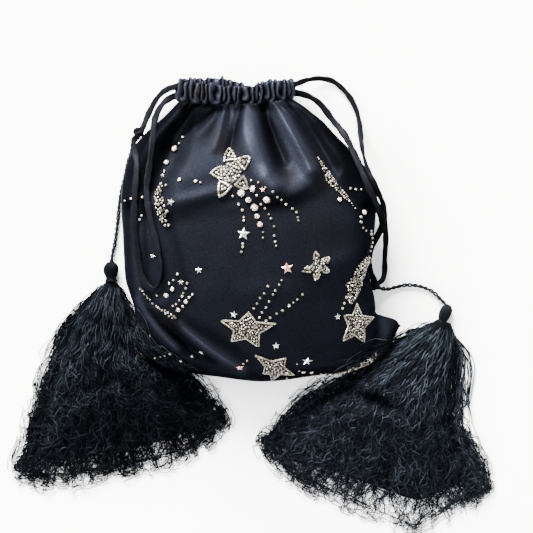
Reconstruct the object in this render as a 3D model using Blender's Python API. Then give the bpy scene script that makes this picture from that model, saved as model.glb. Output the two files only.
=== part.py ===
"""A black satin evening pouch, lying on its back with its drawstrings and tassels laid out.

Metres, +Z up. The pouch's back rests on z = 0, its mouth points to +Y and its front faces up.
"""

import math

import bmesh
import bpy
from mathutils import Vector
from mathutils.bvhtree import BVHTree

# Driving sizes
POUCH_WIDTH = 0.192
BODY_HEIGHT = 0.214
POUCH_DEPTH = 0.062
CLOTH_WALL = 0.002
CASING_HEIGHT = 0.0142
CASING_WALL = 0.0022
PLEAT_DEPTH = 0.0012
PLEATS = 34
GATHER_DEPTH = 0.0012
GATHERS = 16
STRING_WIDTH = 0.0042
CORD_DIAMETER = 0.0028
KNOT_RADIUS = 0.0034
TASSEL_LENGTH = 0.150
TASSEL_DEPTH = 0.028
LOCKS = 7
STAR_RADIUS = 0.0172
STAR_THICKNESS = 0.0026
STONE_DIAMETER = 0.0052
STUD_RADIUS = 0.0036
STUD_THICKNESS = 0.0009
CASING_GAP = 0.0006
SEWN_GAP = 0.0005

# Where the photo shows the body: its middle line, half its width, its foot and its rise, in pixels
PHOTO_MIDDLE = 248.5
PHOTO_HALF_WIDTH = 128.0
PHOTO_FOOT = 382.0
PHOTO_RISE = 285.0
# The share of the body's height that lies below the origin
FOOT_SHARE = 0.52

# A point past the outline is pulled in by this share of its place, at most this many times
EDGE_PULL = 0.006
EDGE_STEPS = 16

FRONT_COLUMNS = 41
BACK_COLUMNS = 13
ROUND_FRONT = 2.4
ROUND_BACK = 3.0
# How much of the back is pressed flat: over 1 widens the flat
BACK_PRESS = 1.25
# Two rows of the table farther apart than this get a row between them in the mesh
ROW_GAP = 0.075
# Edges sharper than this, in degrees, stay sharp in smooth shading
SHARP_ANGLE = 40

# The body from the bottom seam, 0, to the neck, 1.
# rise, left edge and right edge in photo pixels, then crown, edge and back as shares of the depth
ROWS = (
    (0.000, 128.0, 401.0, 0.222, 0.090, 0.150),
    (0.030, 130.0, 395.0, 0.460, 0.140, 0.030),
    (0.052, 132.0, 378.0, 0.560, 0.200, 0.000),
    (0.080, 134.0, 376.0, 0.640, 0.260, 0.000),
    (0.120, 136.0, 375.0, 0.730, 0.300, 0.000),
    (0.190, 131.0, 371.0, 0.840, 0.340, 0.000),
    (0.260, 125.5, 368.0, 0.910, 0.360, 0.000),
    (0.320, 124.0, 369.3, 0.955, 0.370, 0.000),
    (0.400, 123.0, 374.0, 0.990, 0.380, 0.000),
    (0.480, 122.0, 376.0, 1.000, 0.380, 0.000),
    (0.550, 121.0, 378.0, 0.990, 0.380, 0.000),
    (0.630, 121.0, 373.5, 0.950, 0.370, 0.000),
    (0.700, 123.5, 364.7, 0.890, 0.350, 0.000),
    (0.770, 128.0, 351.6, 0.800, 0.320, 0.000),
    (0.840, 139.0, 335.4, 0.690, 0.285, 0.000),
    (0.900, 154.0, 323.0, 0.580, 0.250, 0.000),
    (0.940, 165.0, 311.8, 0.490, 0.220, 0.005),
    (0.970, 172.0, 303.0, 0.420, 0.200, 0.010),
    (1.000, 179.0, 292.0, 0.360, 0.190, 0.020),
)
RISE, LEFT, RIGHT, CROWN, EDGE, BACK = range(6)

# The bottom seam and the neck seam, read across the pouch: share of the half width, photo height
BOTTOM_SEAM = (
    (-1.00, 345.0),
    (-0.80, 363.5),
    (-0.59, 372.0),
    (-0.33, 377.5),
    (0.00, 382.0),
    (0.38, 376.0),
    (0.61, 371.0),
    (0.83, 359.0),
    (0.92, 346.0),
    (1.00, 326.0),
)
NECK_SEAM = (
    (-1.0, 100.0),
    (-0.5, 103.3),
    (0.0, 104.0),
    (0.5, 102.7),
    (1.0, 98.0),
)

# How far the casing stands above the neck seam, as shares of its height: across, front, back
CASING_LIPS = (
    (-1.0, 1.00, 1.00),
    (-0.5, 0.96, 1.38),
    (0.0, 0.84, 1.20),
    (0.25, 0.88, 0.90),
    (0.5, 0.98, 1.09),
    (1.0, 0.95, 0.95),
)
LIP_FRONT, LIP_BACK = range(1, 3)
# The casing's outer face from its seam to its fold: share of the height, swell as share of the wall
CASING_FACE = (
    (0.00, 0.00),
    (0.45, 0.60),
    (1.00, -0.10),
)
# How much of a pleat's depth shows on the casing's inner face
INNER_PLEAT = 0.4
COLUMNS_A_PLEAT = 4

# Folds of the front: start, middle and end in photo pixels, half width in photo pixels,
# height as a share of the depth
FOLDS = (
    ("left_shoulder_valley", (196, 108), (165, 150), (152, 182), 9, -0.050),
    ("left_side_valley", (152, 182), (173, 231), (190, 279), 11, -0.045),
    ("left_bulge_edge", (223, 112), (197, 124), (183, 137), 8, 0.045),
    ("upper_middle_ridge", (228, 107), (228, 130), (226, 150), 7, 0.045),
    ("upper_middle_valley", (237, 107), (236, 132), (241, 160), 6, -0.040),
    ("great_ridge", (246, 104), (246, 135), (264, 180), 9, 0.085),
    ("great_ridge_hook", (264, 180), (285, 200), (309, 178), 9, 0.055),
    ("middle_valley", (259, 105), (271, 132), (287, 162), 8, -0.085),
    ("right_ridge", (275, 103), (294, 135), (313, 168), 8, 0.075),
    ("right_valley", (287, 103), (303, 132), (322, 166), 8, -0.060),
    ("right_shoulder_ridge", (300, 104), (325, 131), (345, 166), 10, 0.030),
    ("sheen_band_foot", (172, 214), (205, 206), (232, 200), 13, -0.035),
    ("lower_left_roll", (137, 300), (150, 325), (175, 345), 9, 0.060),
    ("lower_roll", (184, 330), (212, 353), (240, 365), 9, 0.050),
    ("between_rolls", (163, 322), (190, 348), (214, 363), 8, -0.045),
    ("middle_swell", (225, 285), (259, 280), (295, 290), 18, 0.020),
    ("right_swell", (318, 268), (335, 260), (352, 250), 13, 0.022),
    ("corner_crease", (379, 308), (380, 330), (374, 352), 8, -0.100),
    ("left_pinch", (134, 314), (150, 312), (168, 304), 8, -0.045),
    ("hem_right_swell", (300, 358), (335, 350), (362, 332), 13, 0.022),
)

# A fold's height at its two ends, as a share of its middle's
FOLD_ENDS = 0.75
# How soon the folds reach their full height up from the sides: over 1 is sooner
RELIEF_REACH = 1.3
# The rise where the gathers start, and how slowly they deepen towards the neck
GATHER_START = 0.80
GATHER_EASE = 1.4

# Beaded stars: place in photo pixels, radius as a share of STAR_RADIUS, angle of the first tip,
# how narrow the star looks across its long way, and the angle of that long way
STARS = (
    ("star_great", 231.7, 173.5, 1.00, 96, 0.94, 90),
    ("star_petal", 315.0, 266.0, 0.58, 90, 1.00, 0),
    ("star_comet", 247.5, 329.0, 1.16, 90, 0.66, 0),
    ("star_hem", 275.0, 365.0, 0.86, 150, 0.62, -24),
    ("star_right", 356.5, 323.0, 0.80, 88, 0.84, 90),
    ("star_right_side", 356.5, 275.0, 1.30, 72, 0.30, 72),
    ("star_right_shoulder", 335.0, 184.0, 1.45, -51, 0.20, -51),
    ("star_left_side", 160.0, 206.0, 1.05, -81, 0.30, -81),
    ("star_left_low", 159.0, 302.5, 1.06, -40, 0.22, -40),
    ("star_left_corner", 142.0, 349.0, 0.45, -40, 0.50, -40),
)
STAR_TIPS = 5
STAR_NOTCH = 0.50
STAR_RING = 0.62
# A star's thickness at its rim and at its inner ring, as shares of STAR_THICKNESS
STAR_RIM = 0.35
STAR_SHOULDER = 0.85
SETTLE_ROUNDS = 4
# How far round a point the cloth's way out is averaged
NORMAL_REACH = 0.0015

# Round stones in cups: place in photo pixels, diameter as a share of STONE_DIAMETER
STONES = (
    (241.5, 194.2, 1.20),
    (253.4, 189.5, 1.00),
    (267.0, 199.5, 1.20),
    (248.5, 201.0, 0.94),
    (254.6, 208.5, 1.14),
    (257.0, 217.0, 0.86),
    (260.0, 225.0, 0.90),
    (175.0, 149.0, 0.92),
    (166.5, 163.0, 0.80),
    (180.0, 180.5, 0.62),
    (173.0, 288.6, 0.72),
    (167.0, 294.6, 0.82),
    (186.6, 301.0, 0.72),
    (179.0, 309.4, 0.72),
    (303.5, 371.0, 0.72),
    (311.8, 371.5, 0.72),
    (363.0, 212.5, 0.84),
    (339.0, 200.0, 0.72),
    (196.0, 182.0, 0.55),
)
# A cup with its stone, from the cloth up: radius and height as shares of the radius
STONE_ROWS = (
    (0.72, 0.00),
    (1.00, 0.42),
    (0.90, 0.62),
    (0.52, 0.92),
)
STONE_SIDES = 8

# Metal stars: place in photo pixels, radius as a share of STUD_RADIUS, angle of the first tip
STUDS = (
    (243.6, 234.0, 1.42, 84),
    (199.4, 270.0, 0.80, 96),
    (287.0, 268.0, 1.25, 100),
    (263.0, 190.0, 0.74, 90),
    (234.0, 314.0, 0.82, 80),
    (276.0, 345.0, 0.84, 95),
    (307.0, 360.5, 1.25, 85),
    (239.5, 367.0, 0.80, 92),
    (337.2, 316.4, 0.70, 98),
    (171.6, 202.7, 0.95, 75),
    (163.0, 176.0, 0.62, 100),
    (181.6, 282.0, 0.66, 88),
    (150.5, 336.0, 0.66, 90),
    (153.5, 256.0, 0.60, 70),
    (201.5, 352.0, 0.66, 95),
)
STUD_NOTCH = 0.42

# Routes of the strings and cords, chosen by hand: from the casing to the knot, then to the tassel
LEFT_STRING_ROUTE = (
    (-0.0554, 0.1108, 0.0125),
    (-0.0600, 0.1096, 0.0118),
    (-0.0660, 0.1058, 0.0100),
    (-0.0712, 0.0990, 0.0085),
    (-0.0754, 0.0907, 0.0085),
    (-0.0782, 0.0840, 0.0105),
    (-0.0796, 0.0803, 0.0122),
)
LEFT_LOOP_ROUTE = (
    (-0.0541, 0.1044, 0.0090),
    (-0.0590, 0.1026, 0.0094),
    (-0.0645, 0.0982, 0.0120),
    (-0.0686, 0.0915, 0.0180),
    (-0.0710, 0.0824, 0.0270),
    (-0.0720, 0.0689, 0.0360),
    (-0.0739, 0.0517, 0.0435),
    (-0.0761, 0.0329, 0.0484),
    (-0.0739, 0.0149, 0.0528),
    (-0.0686, -0.0069, 0.0565),
    (-0.0656, -0.0227, 0.0570),
    (-0.0656, -0.0347, 0.0555),
    (-0.0694, -0.0414, 0.0533),
    (-0.0750, -0.0392, 0.0513),
    (-0.0799, -0.0309, 0.0503),
    (-0.0836, -0.0084, 0.0488),
    (-0.0851, 0.0141, 0.0480),
    (-0.0846, 0.0329, 0.0468),
    (-0.0836, 0.0517, 0.0420),
    (-0.0854, 0.0618, 0.0344),
    (-0.0863, 0.0698, 0.0238),
    (-0.0838, 0.0732, 0.0166),
)
RIGHT_STRING_ROUTE = (
    (0.0340, 0.1122, 0.0140),
    (0.0385, 0.1140, 0.0122),
    (0.0450, 0.1163, 0.0085),
    (0.0544, 0.1174, 0.0045),
    (0.0649, 0.1147, 0.0024),
    (0.0746, 0.1057, 0.0024),
    (0.0803, 0.0960, 0.0030),
    (0.0833, 0.0854, 0.0065),
    (0.0844, 0.0749, 0.0130),
    (0.0855, 0.0644, 0.0222),
    (0.0889, 0.0494, 0.0330),
    (0.0949, 0.0359, 0.0364),
    (0.1007, 0.0231, 0.0268),
    (0.1028, 0.0104, 0.0145),
    (0.1035, -0.0047, 0.0070),
    (0.1028, -0.0182, 0.0042),
    (0.1028, -0.0272, 0.0046),
    (0.1016, -0.0334, 0.0066),
    (0.0995, -0.0360, 0.0080),
)
RIGHT_INNER_ROUTE = (
    (0.0348, 0.1065, 0.0090),
    (0.0400, 0.1056, 0.0083),
    (0.0466, 0.1032, 0.0080),
    (0.0545, 0.0974, 0.0087),
    (0.0634, 0.0858, 0.0110),
    (0.0722, 0.0746, 0.0185),
    (0.0780, 0.0629, 0.0305),
    (0.0844, 0.0479, 0.0382),
    (0.0906, 0.0329, 0.0420),
    (0.0975, 0.0186, 0.0368),
    (0.1003, 0.0100, 0.0240),
    (0.0992, 0.0026, 0.0140),
    (0.0953, -0.0047, 0.0082),
    (0.0916, -0.0137, 0.0060),
    (0.0904, -0.0227, 0.0058),
    (0.0922, -0.0300, 0.0075),
    (0.0944, -0.0342, 0.0100),
)
LEFT_CORD_ROUTE = (
    (-0.0840, 0.0744, 0.0100),
    (-0.0866, 0.0682, 0.0075),
    (-0.0898, 0.0584, 0.0048),
    (-0.0941, 0.0411, 0.0022),
    (-0.0975, 0.0246, 0.0016),
    (-0.0990, 0.0096, 0.0016),
    (-0.1009, -0.0054, 0.0016),
    (-0.1028, -0.0152, 0.0018),
    (-0.1039, -0.0219, 0.0027),
)
RIGHT_CORD_ROUTE = (
    (0.0984, -0.0404, 0.0067),
    (0.1040, -0.0416, 0.0034),
    (0.1106, -0.0403, 0.0017),
    (0.1196, -0.0384, 0.0016),
    (0.1309, -0.0399, 0.0016),
    (0.1391, -0.0437, 0.0016),
    (0.1451, -0.0493, 0.0018),
    (0.1497, -0.0541, 0.0026),
)
# Each knot's middle, and the way its cord leaves it
LEFT_KNOT = ((-0.0826, 0.0768, 0.0130), (0.2, 1.0, 0.0))
RIGHT_KNOT = ((0.0952, -0.0384, 0.0085), (0.9, 0.3, 0.0))
# A knot along its cord: place and radius as shares of KNOT_RADIUS
KNOT_ROWS = (
    (-1.00, 0.45),
    (-0.62, 0.92),
    (-0.20, 0.98),
    (0.05, 0.84),
    (0.35, 1.00),
    (0.75, 0.82),
    (1.00, 0.40),
)
KNOT_SIDES = 10
POINTS_A_DIAMETER = 0.4
ROUTE_STEPS = 12

# Each tassel from its head, as shares of TASSEL_LENGTH: left x and y, right x and y,
# then the height as a share of TASSEL_DEPTH
LEFT_TASSEL_ROWS = (
    (-0.012, 0.036, 0.012, 0.036, 0.18),
    (-0.030, 0.018, 0.030, 0.018, 0.36),
    (-0.033, -0.006, 0.033, -0.006, 0.38),
    (-0.026, -0.036, 0.026, -0.036, 0.30),
    (-0.085, -0.090, 0.066, -0.090, 0.48),
    (-0.175, -0.185, 0.078, -0.185, 0.68),
    (-0.240, -0.290, 0.068, -0.290, 0.80),
    (-0.290, -0.410, 0.065, -0.395, 0.86),
    (-0.330, -0.530, 0.190, -0.500, 0.89),
    (-0.362, -0.650, 0.365, -0.580, 0.85),
    (-0.388, -0.765, 0.475, -0.660, 0.74),
    (-0.410, -0.870, 0.535, -0.740, 0.54),
)
RIGHT_TASSEL_ROWS = (
    (-0.006, 0.038, 0.022, 0.026, 0.18),
    (-0.032, 0.022, 0.032, -0.004, 0.36),
    (-0.042, 0.004, 0.024, -0.026, 0.38),
    (-0.048, -0.022, 0.004, -0.044, 0.30),
    (-0.110, -0.068, 0.052, -0.118, 0.48),
    (-0.205, -0.140, 0.080, -0.205, 0.68),
    (-0.350, -0.280, 0.084, -0.320, 0.84),
    (-0.575, -0.390, 0.078, -0.430, 0.90),
    (-0.765, -0.515, 0.082, -0.560, 0.77),
    (-0.870, -0.640, 0.135, -0.695, 0.52),
)
# How far each lock reaches past the last row, as shares of TASSEL_LENGTH, from left to right
LEFT_LOCK_TIPS = (0.195, 0.24, 0.21, 0.205, 0.225, 0.20, 0.12)
RIGHT_LOCK_TIPS = (0.10, 0.20, 0.28, 0.32, 0.38, 0.38, 0.22)
LEFT_TASSEL_HEAD = (-0.1039, -0.0279)
RIGHT_TASSEL_HEAD = (0.1481, -0.0602)
LOCK_GROOVE = 0.42
# Over each lock: places across it, and whether the point is its ridge
LOCK_POINTS = (
    (0.06, False),
    (0.50, True),
    (0.94, False),
)
# A tassel's section: how square its dome is, and its edge as a share of its height, at the
# head and at the ends of the locks
TASSEL_DOME = 2.4
HEAD_EDGE = 0.25
SKIRT_EDGE = 0.08
# The steps of a lock's free end: share of its reach, then its width and its height
LOCK_STEPS = (
    (0.45, 1.10, 0.72),
    (0.38, 1.04, 0.56),
    (0.17, 0.60, 0.50),
)

SATIN = ((0.012, 0.013, 0.018), 0.38, 0.0)
STRING_SATIN = ((0.012, 0.012, 0.015), 0.45, 0.0)
THREAD = ((0.008, 0.008, 0.010), 0.7, 0.0)
BEADS = ((0.72, 0.68, 0.58), 0.25, 0.9)
CRYSTAL = ((0.86, 0.84, 0.86), 0.08, 0.2)
SILVER = ((0.80, 0.80, 0.82), 0.18, 1.0)


def clear_scene():
    for old in list(bpy.data.objects):
        bpy.data.objects.remove(old, do_unlink=True)


def material(name, look):
    colour, roughness, metallic = look
    made = bpy.data.materials.new(name)
    made.use_nodes = True
    shader = made.node_tree.nodes["Principled BSDF"]
    shader.inputs["Base Color"].default_value = (*colour, 1.0)
    shader.inputs["Roughness"].default_value = roughness
    shader.inputs["Metallic"].default_value = metallic
    return made


def slope_at(table, column, i):
    before, after = table[max(i - 1, 0)], table[min(i + 1, len(table) - 1)]
    return (after[column] - before[column]) / (after[0] - before[0])


def read_table(table, column, at):
    """The table's column at a place between its rows, on a smooth curve through them."""
    if at <= table[0][0]:
        return table[0][column]
    if at >= table[-1][0]:
        return table[-1][column]
    k = max(i for i in range(len(table) - 1) if table[i][0] <= at)
    here, after = table[k], table[k + 1]
    step = after[0] - here[0]
    t = (at - here[0]) / step
    level = here[column] * (1 + 2 * t) * (1 - t) ** 2 + after[column] * t * t * (3 - 2 * t)
    level += step * slope_at(table, column, k) * t * (1 - t) ** 2
    return level - step * slope_at(table, column, k + 1) * t * t * (1 - t)


def across(photo_x):
    """Where a column of the photo lies on the pouch, in metres from its middle line."""
    return (photo_x - PHOTO_MIDDLE) / PHOTO_HALF_WIDTH * POUCH_WIDTH / 2


def along(photo_y):
    """Where a row of the photo lies on the pouch, in metres from the origin."""
    return ((PHOTO_FOOT - photo_y) / PHOTO_RISE - FOOT_SHARE) * BODY_HEIGHT


def photo_column(share, rise):
    left = read_table(ROWS, LEFT, rise)
    right = read_table(ROWS, RIGHT, rise)
    return (left + right) / 2 + share * (right - left) / 2


def photo_row(share, rise):
    bottom = read_table(BOTTOM_SEAM, 1, share)
    neck = read_table(NECK_SEAM, 1, share)
    return bottom + (neck - bottom) * rise


def way_to_curve(point, start, middle, end, steps=10):
    """The distance from a point to a bent line, and the share of the line's length there."""
    best, where = 1e9, 0.0
    for k in range(steps + 1):
        t = k / steps
        x = (1 - t) ** 2 * start[0] + 2 * t * (1 - t) * middle[0] + t * t * end[0]
        y = (1 - t) ** 2 * start[1] + 2 * t * (1 - t) * middle[1] + t * t * end[1]
        way = math.hypot(point[0] - x, point[1] - y)
        if way < best:
            best, where = way, t
    return best, where


def fold_height(photo_x, photo_y):
    """How far the folds lift the front here, in metres."""
    total = 0.0
    for _name, start, middle, end, half_width, height in FOLDS:
        way, where = way_to_curve((photo_x, photo_y), start, middle, end)
        fade = FOLD_ENDS + (1 - FOLD_ENDS) * math.sin(math.pi * where)
        total += height * fade * math.exp(-((way / half_width) ** 2))
    return total * POUCH_DEPTH


def gather_height(share, rise):
    """How far the gathers under the casing lift the cloth here, in metres."""
    fade = max(0.0, (rise - GATHER_START) / (1 - GATHER_START)) ** GATHER_EASE
    return GATHER_DEPTH * fade * math.cos(math.pi * GATHERS * (share + 1) / 2)


def ring_places():
    """Round one section: the share across, the front's rise from the edge, and the back's."""
    places = [(-1.0, 0.0, 0.0)]
    for k in range(1, FRONT_COLUMNS - 1):
        turn = math.pi * k / (FRONT_COLUMNS - 1)
        share = -math.copysign(abs(math.cos(turn)) ** (2 / ROUND_FRONT), math.cos(turn))
        places.append((share, math.sin(turn) ** (2 / ROUND_FRONT), 0.0))
    places.append((1.0, 0.0, 0.0))
    for k in range(1, BACK_COLUMNS + 1):
        turn = math.pi * k / (BACK_COLUMNS + 1)
        share = math.copysign(abs(math.cos(turn)) ** (2 / ROUND_BACK), math.cos(turn))
        pressed = min(1.0, BACK_PRESS * math.sin(turn) ** (2 / ROUND_BACK))
        places.append((share, 0.0, pressed))
    return places


def form_point(place, rise):
    """A point of the body's outer form, without its folds."""
    share, front, back = place
    edge = read_table(ROWS, EDGE, rise)
    height = edge + front * (read_table(ROWS, CROWN, rise) - edge)
    height += back * (read_table(ROWS, BACK, rise) - edge)
    photo_x, photo_y = photo_column(share, rise), photo_row(share, rise)
    return Vector((across(photo_x), along(photo_y), max(height, 0.0) * POUCH_DEPTH))


def relief(place, rise):
    share, front, _back = place
    if front <= 0.0:
        return 0.0
    lift = fold_height(photo_column(share, rise), photo_row(share, rise))
    return (lift + gather_height(share, rise)) * min(1.0, front * RELIEF_REACH)


def body_rises():
    """The rows of the body's mesh: the table's own, and one between any two that lie far apart."""
    rises = []
    for here, after in zip(ROWS, ROWS[1:]):
        rises.append(here[RISE])
        if after[RISE] - here[RISE] > ROW_GAP:
            rises.append((here[RISE] + after[RISE]) / 2)
    return rises + [ROWS[-1][RISE]]


def body_grid():
    """The outer and the inner wall, as rows of points."""
    places, rises = ring_places(), body_rises()
    form = [[form_point(place, rise) for place in places] for rise in rises]
    outer, inner = [], []
    for i, rise in enumerate(rises):
        before, after = form[max(i - 1, 0)], form[min(i + 1, len(form) - 1)]
        outer_row, inner_row = [], []
        for k, place in enumerate(places):
            round_way = form[i][(k + 1) % len(places)] - form[i][k - 1]
            out = round_way.cross(after[k] - before[k]).normalized()
            if i == len(form) - 1:
                out = Vector((out.x, 0.0, out.z)).normalized()
            lifted = form[i][k] + Vector((0, 0, relief(place, rise)))
            outer_row.append(lifted)
            inner_row.append(lifted - out * CLOTH_WALL)
        outer.append(outer_row)
        inner.append(inner_row)
    return outer, inner[1:]


def strip(mesh, first, second):
    """Faces between two rings of as many points."""
    count = len(first)
    for k in range(count):
        after = (k + 1) % count
        mesh.faces.new((first[k], first[after], second[after], second[k]))


def zip_across(mesh, ring):
    """Closes a flat ring: its front half is joined to its back half, step by step."""
    front = ring[:FRONT_COLUMNS]
    back = [ring[0]] + ring[:FRONT_COLUMNS - 1:-1] + [ring[FRONT_COLUMNS - 1]]
    i, j = 0, 0
    while i < len(front) - 1 or j < len(back) - 1:
        step_front = j == len(back) - 1 or (
            i < len(front) - 1 and front[i + 1].co.x <= back[j + 1].co.x
        )
        corners = [front[i], back[j]]
        if step_front:
            corners.append(front[i + 1])
            i += 1
        else:
            corners.append(back[j + 1])
            j += 1
        if len(set(corners)) == 3:
            mesh.faces.new(corners)


def finish(mesh, name, look, smooth=True):
    """Makes the mesh an object of its own, with its own material."""
    bmesh.ops.recalc_face_normals(mesh, faces=mesh.faces)
    data = bpy.data.meshes.new(name)
    mesh.to_mesh(data)
    mesh.free()
    if smooth:
        data.shade_smooth()
        data.set_sharp_from_angle(angle=math.radians(SHARP_ANGLE))
    made = bpy.data.objects.new(name, data)
    bpy.context.scene.collection.objects.link(made)
    data.materials.append(material(name + "_finish", look))
    return made


def make_body():
    outer, inner = body_grid()
    mesh = bmesh.new()
    outer_rings = [[mesh.verts.new(point) for point in row] for row in outer]
    inner_rings = [[mesh.verts.new(point) for point in row] for row in inner]
    for rings in (outer_rings, inner_rings):
        for first, second in zip(rings, rings[1:]):
            strip(mesh, first, second)
    strip(mesh, outer_rings[-1], inner_rings[-1])
    zip_across(mesh, outer_rings[0])
    zip_across(mesh, inner_rings[0])
    bmesh.ops.triangulate(mesh, faces=mesh.faces)
    return finish(mesh, "pouch_body", SATIN)


def even_loop(points, count):
    """A closed loop read again at even steps of its length."""
    closed = points + [points[0]]
    ways = [0.0]
    for a, b in zip(closed, closed[1:]):
        ways.append(ways[-1] + (b - a).length)
    loop, k = [], 0
    for n in range(count):
        way = ways[-1] * n / count
        while ways[k + 1] < way:
            k += 1
        loop.append(closed[k].lerp(closed[k + 1], (way - ways[k]) / (ways[k + 1] - ways[k])))
    return loop


def neck_place(x):
    """How high the neck seam lies at a place across it, and that place's share of the half neck."""
    left, right = across(ROWS[-1][LEFT]), across(ROWS[-1][RIGHT])
    share = (x - (left + right) / 2) / ((right - left) / 2)
    share = max(-1.0, min(1.0, share))
    return along(read_table(NECK_SEAM, 1, share)), share


def casing_point(flat, height, is_front):
    """Raises a point of the neck's loop to its place on the casing, no lower than the floor."""
    foot, share = neck_place(flat.x)
    lip = read_table(CASING_LIPS, LIP_FRONT if is_front else LIP_BACK, share)
    return Vector((flat.x, foot + CASING_GAP + CASING_HEIGHT * lip * height, max(flat.z, 0.0)))


def make_casing():
    form = [form_point(place, 1.0) for place in ring_places()]
    loop = even_loop(form, PLEATS * COLUMNS_A_PLEAT)
    middle = sum(point.z for point in loop) / len(loop)
    rings = [(height, swell * CASING_WALL, PLEAT_DEPTH) for height, swell in CASING_FACE]
    rings += [(height, -CASING_WALL, PLEAT_DEPTH * INNER_PLEAT) for height in (1.0, 0.0)]
    mesh = bmesh.new()
    made = []
    for height, swell, pleat in rings:
        row = []
        for k, base in enumerate(loop):
            way = loop[(k + 1) % len(loop)] - loop[k - 1]
            out = Vector((-way.z, 0.0, way.x)).normalized()
            pleated = swell + pleat * math.cos(2 * math.pi * k / COLUMNS_A_PLEAT)
            point = casing_point(base + out * pleated, height, base.z > middle)
            row.append(mesh.verts.new(point))
        made.append(row)
    for first, second in zip(made, made[1:] + made[:1]):
        strip(mesh, first, second)
    return finish(mesh, "drawstring_casing", SATIN)


def surface_tree(made):
    mesh = bmesh.new()
    mesh.from_mesh(made.data)
    tree = BVHTree.FromBMesh(mesh)
    mesh.free()
    return tree


def drop(tree, x, y):
    """Where a point above the pouch meets its front, and the way out of the cloth there.

    A point just past the outline is pulled in until it lies over the cloth.
    """
    for step in range(EDGE_STEPS):
        pulled = 1 - EDGE_PULL * step
        above = Vector((x * pulled, y * pulled, 2 * POUCH_DEPTH))
        place, normal, _face, _way = tree.ray_cast(above, Vector((0, 0, -1)))
        if place is not None:
            return place, normal
    raise ValueError(f"nothing lies under x {x:.4f}, y {y:.4f}")


def smooth_normal(tree, x, y):
    total = Vector()
    for way_x, way_y in ((0, 0), (1, 0), (-1, 0), (0, 1), (0, -1)):
        total += drop(tree, x + way_x * NORMAL_REACH, y + way_y * NORMAL_REACH)[1]
    return total.normalized()


def star_shape(notch):
    """The corners of a flat star of radius 1, tip and notch in turn, first tip at angle 0."""
    corners = []
    for k in range(2 * STAR_TIPS):
        radius = 1.0 if k % 2 == 0 else notch
        turn = math.pi * k / STAR_TIPS
        corners.append((radius * math.cos(turn), radius * math.sin(turn)))
    return corners


def lay_star(row):
    """A star's corners and its inner ring in plan, turned and narrowed as the photo shows it."""
    _name, photo_x, photo_y, size, turn, narrow, lean = row
    radius = size * STAR_RADIUS
    turn, lean = math.radians(turn), math.radians(lean)
    rings = []
    for scale in (1.0, STAR_RING):
        ring = []
        for u, v in star_shape(STAR_NOTCH):
            x = u * math.cos(turn - lean) - v * math.sin(turn - lean)
            y = (u * math.sin(turn - lean) + v * math.cos(turn - lean)) * narrow
            world_x = x * math.cos(lean) - y * math.sin(lean)
            world_y = x * math.sin(lean) + y * math.cos(lean)
            ring.append((across(photo_x) + radius * scale * world_x,
                         along(photo_y) + radius * scale * world_y))
        rings.append(ring)
    return rings, (across(photo_x), along(photo_y))


def clear_cloth(tree, places, outs, triangles):
    """How far each point of a laid piece stands off the cloth, so that its faces clear it too."""
    lifts = [SEWN_GAP] * len(places)
    for _round in range(SETTLE_ROUNDS):
        for corners in triangles:
            points = [places[i] + outs[i] * lifts[i] for i in corners]
            samples = [(a + b) / 2 for a, b in zip(points, points[1:] + points[:1])]
            samples.append(sum(points, Vector()) / len(points))
            short = 0.0
            for sample in samples:
                nearest, normal, _face, _way = tree.find_nearest(sample)
                short = max(short, SEWN_GAP - (sample - nearest).dot(normal))
            for i in corners:
                lifts[i] += short
    return lifts


def make_star(tree, row):
    """A padded star of beads that follows the cloth under it."""
    (outline, ring), centre = lay_star(row)
    plan = outline + ring + [centre]
    count = len(outline)
    places = [drop(tree, x, y)[0] for x, y in plan]
    outs = [smooth_normal(tree, x, y) for x, y in plan]
    triangles = []
    for k in range(count):
        after = (k + 1) % count
        triangles += [(k, after, count + k), (after, count + after, count + k)]
        triangles.append((count + k, count + after, 2 * count))
    lifts = clear_cloth(tree, places, outs, triangles)
    pads = [STAR_RIM] * count + [STAR_SHOULDER] * count + [1.0]
    mesh = bmesh.new()
    low, high = [], []
    for place, out, lift, pad in zip(places, outs, lifts, pads):
        low.append(mesh.verts.new(place + out * lift))
        high.append(mesh.verts.new(place + out * (lift + pad * STAR_THICKNESS)))
    for layer in (low, high):
        for corners in triangles:
            mesh.faces.new([layer[i] for i in corners])
    strip(mesh, low[:count], high[:count])
    bmesh.ops.triangulate(mesh, faces=mesh.faces)
    return finish(mesh, row[0], BEADS, smooth=False)


def seat(tree, x, y, corners):
    """A frame on the cloth at x, y: its origin is raised until every corner clears the cloth."""
    place, _normal = drop(tree, x, y)
    out = smooth_normal(tree, x, y)
    side = Vector((1, 0, 0)).cross(out).cross(out).normalized() * -1
    up = out.cross(side).normalized()
    lift = SEWN_GAP
    for u, v in corners:
        corner = place + side * u + up * v
        hit, _normal, _face, _way = tree.ray_cast(corner + out * POUCH_DEPTH, -out)
        if hit is not None:
            lift = max(lift, (hit - corner).dot(out) + SEWN_GAP)
    return place + out * lift, side, up, out


def make_stone(tree, name, row):
    """A cut stone in its cup: eight sides, a girdle and a flat table."""
    photo_x, photo_y, size = row
    radius = size * STONE_DIAMETER / 2
    foot_radius = radius * STONE_ROWS[0][0]
    turns = [2 * math.pi * k / STONE_SIDES for k in range(STONE_SIDES)]
    foot = [(foot_radius * math.cos(t), foot_radius * math.sin(t)) for t in turns]
    base, side, up, out = seat(tree, across(photo_x), along(photo_y), foot)
    mesh = bmesh.new()
    rings = []
    for share, height in STONE_ROWS:
        ring = []
        for t in turns:
            flat = side * math.cos(t) + up * math.sin(t)
            ring.append(mesh.verts.new(base + flat * radius * share + out * radius * height))
        rings.append(ring)
    for first, second in zip(rings, rings[1:]):
        strip(mesh, first, second)
    mesh.faces.new(rings[0])
    mesh.faces.new(rings[-1])
    return finish(mesh, name, CRYSTAL, smooth=False)


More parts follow.
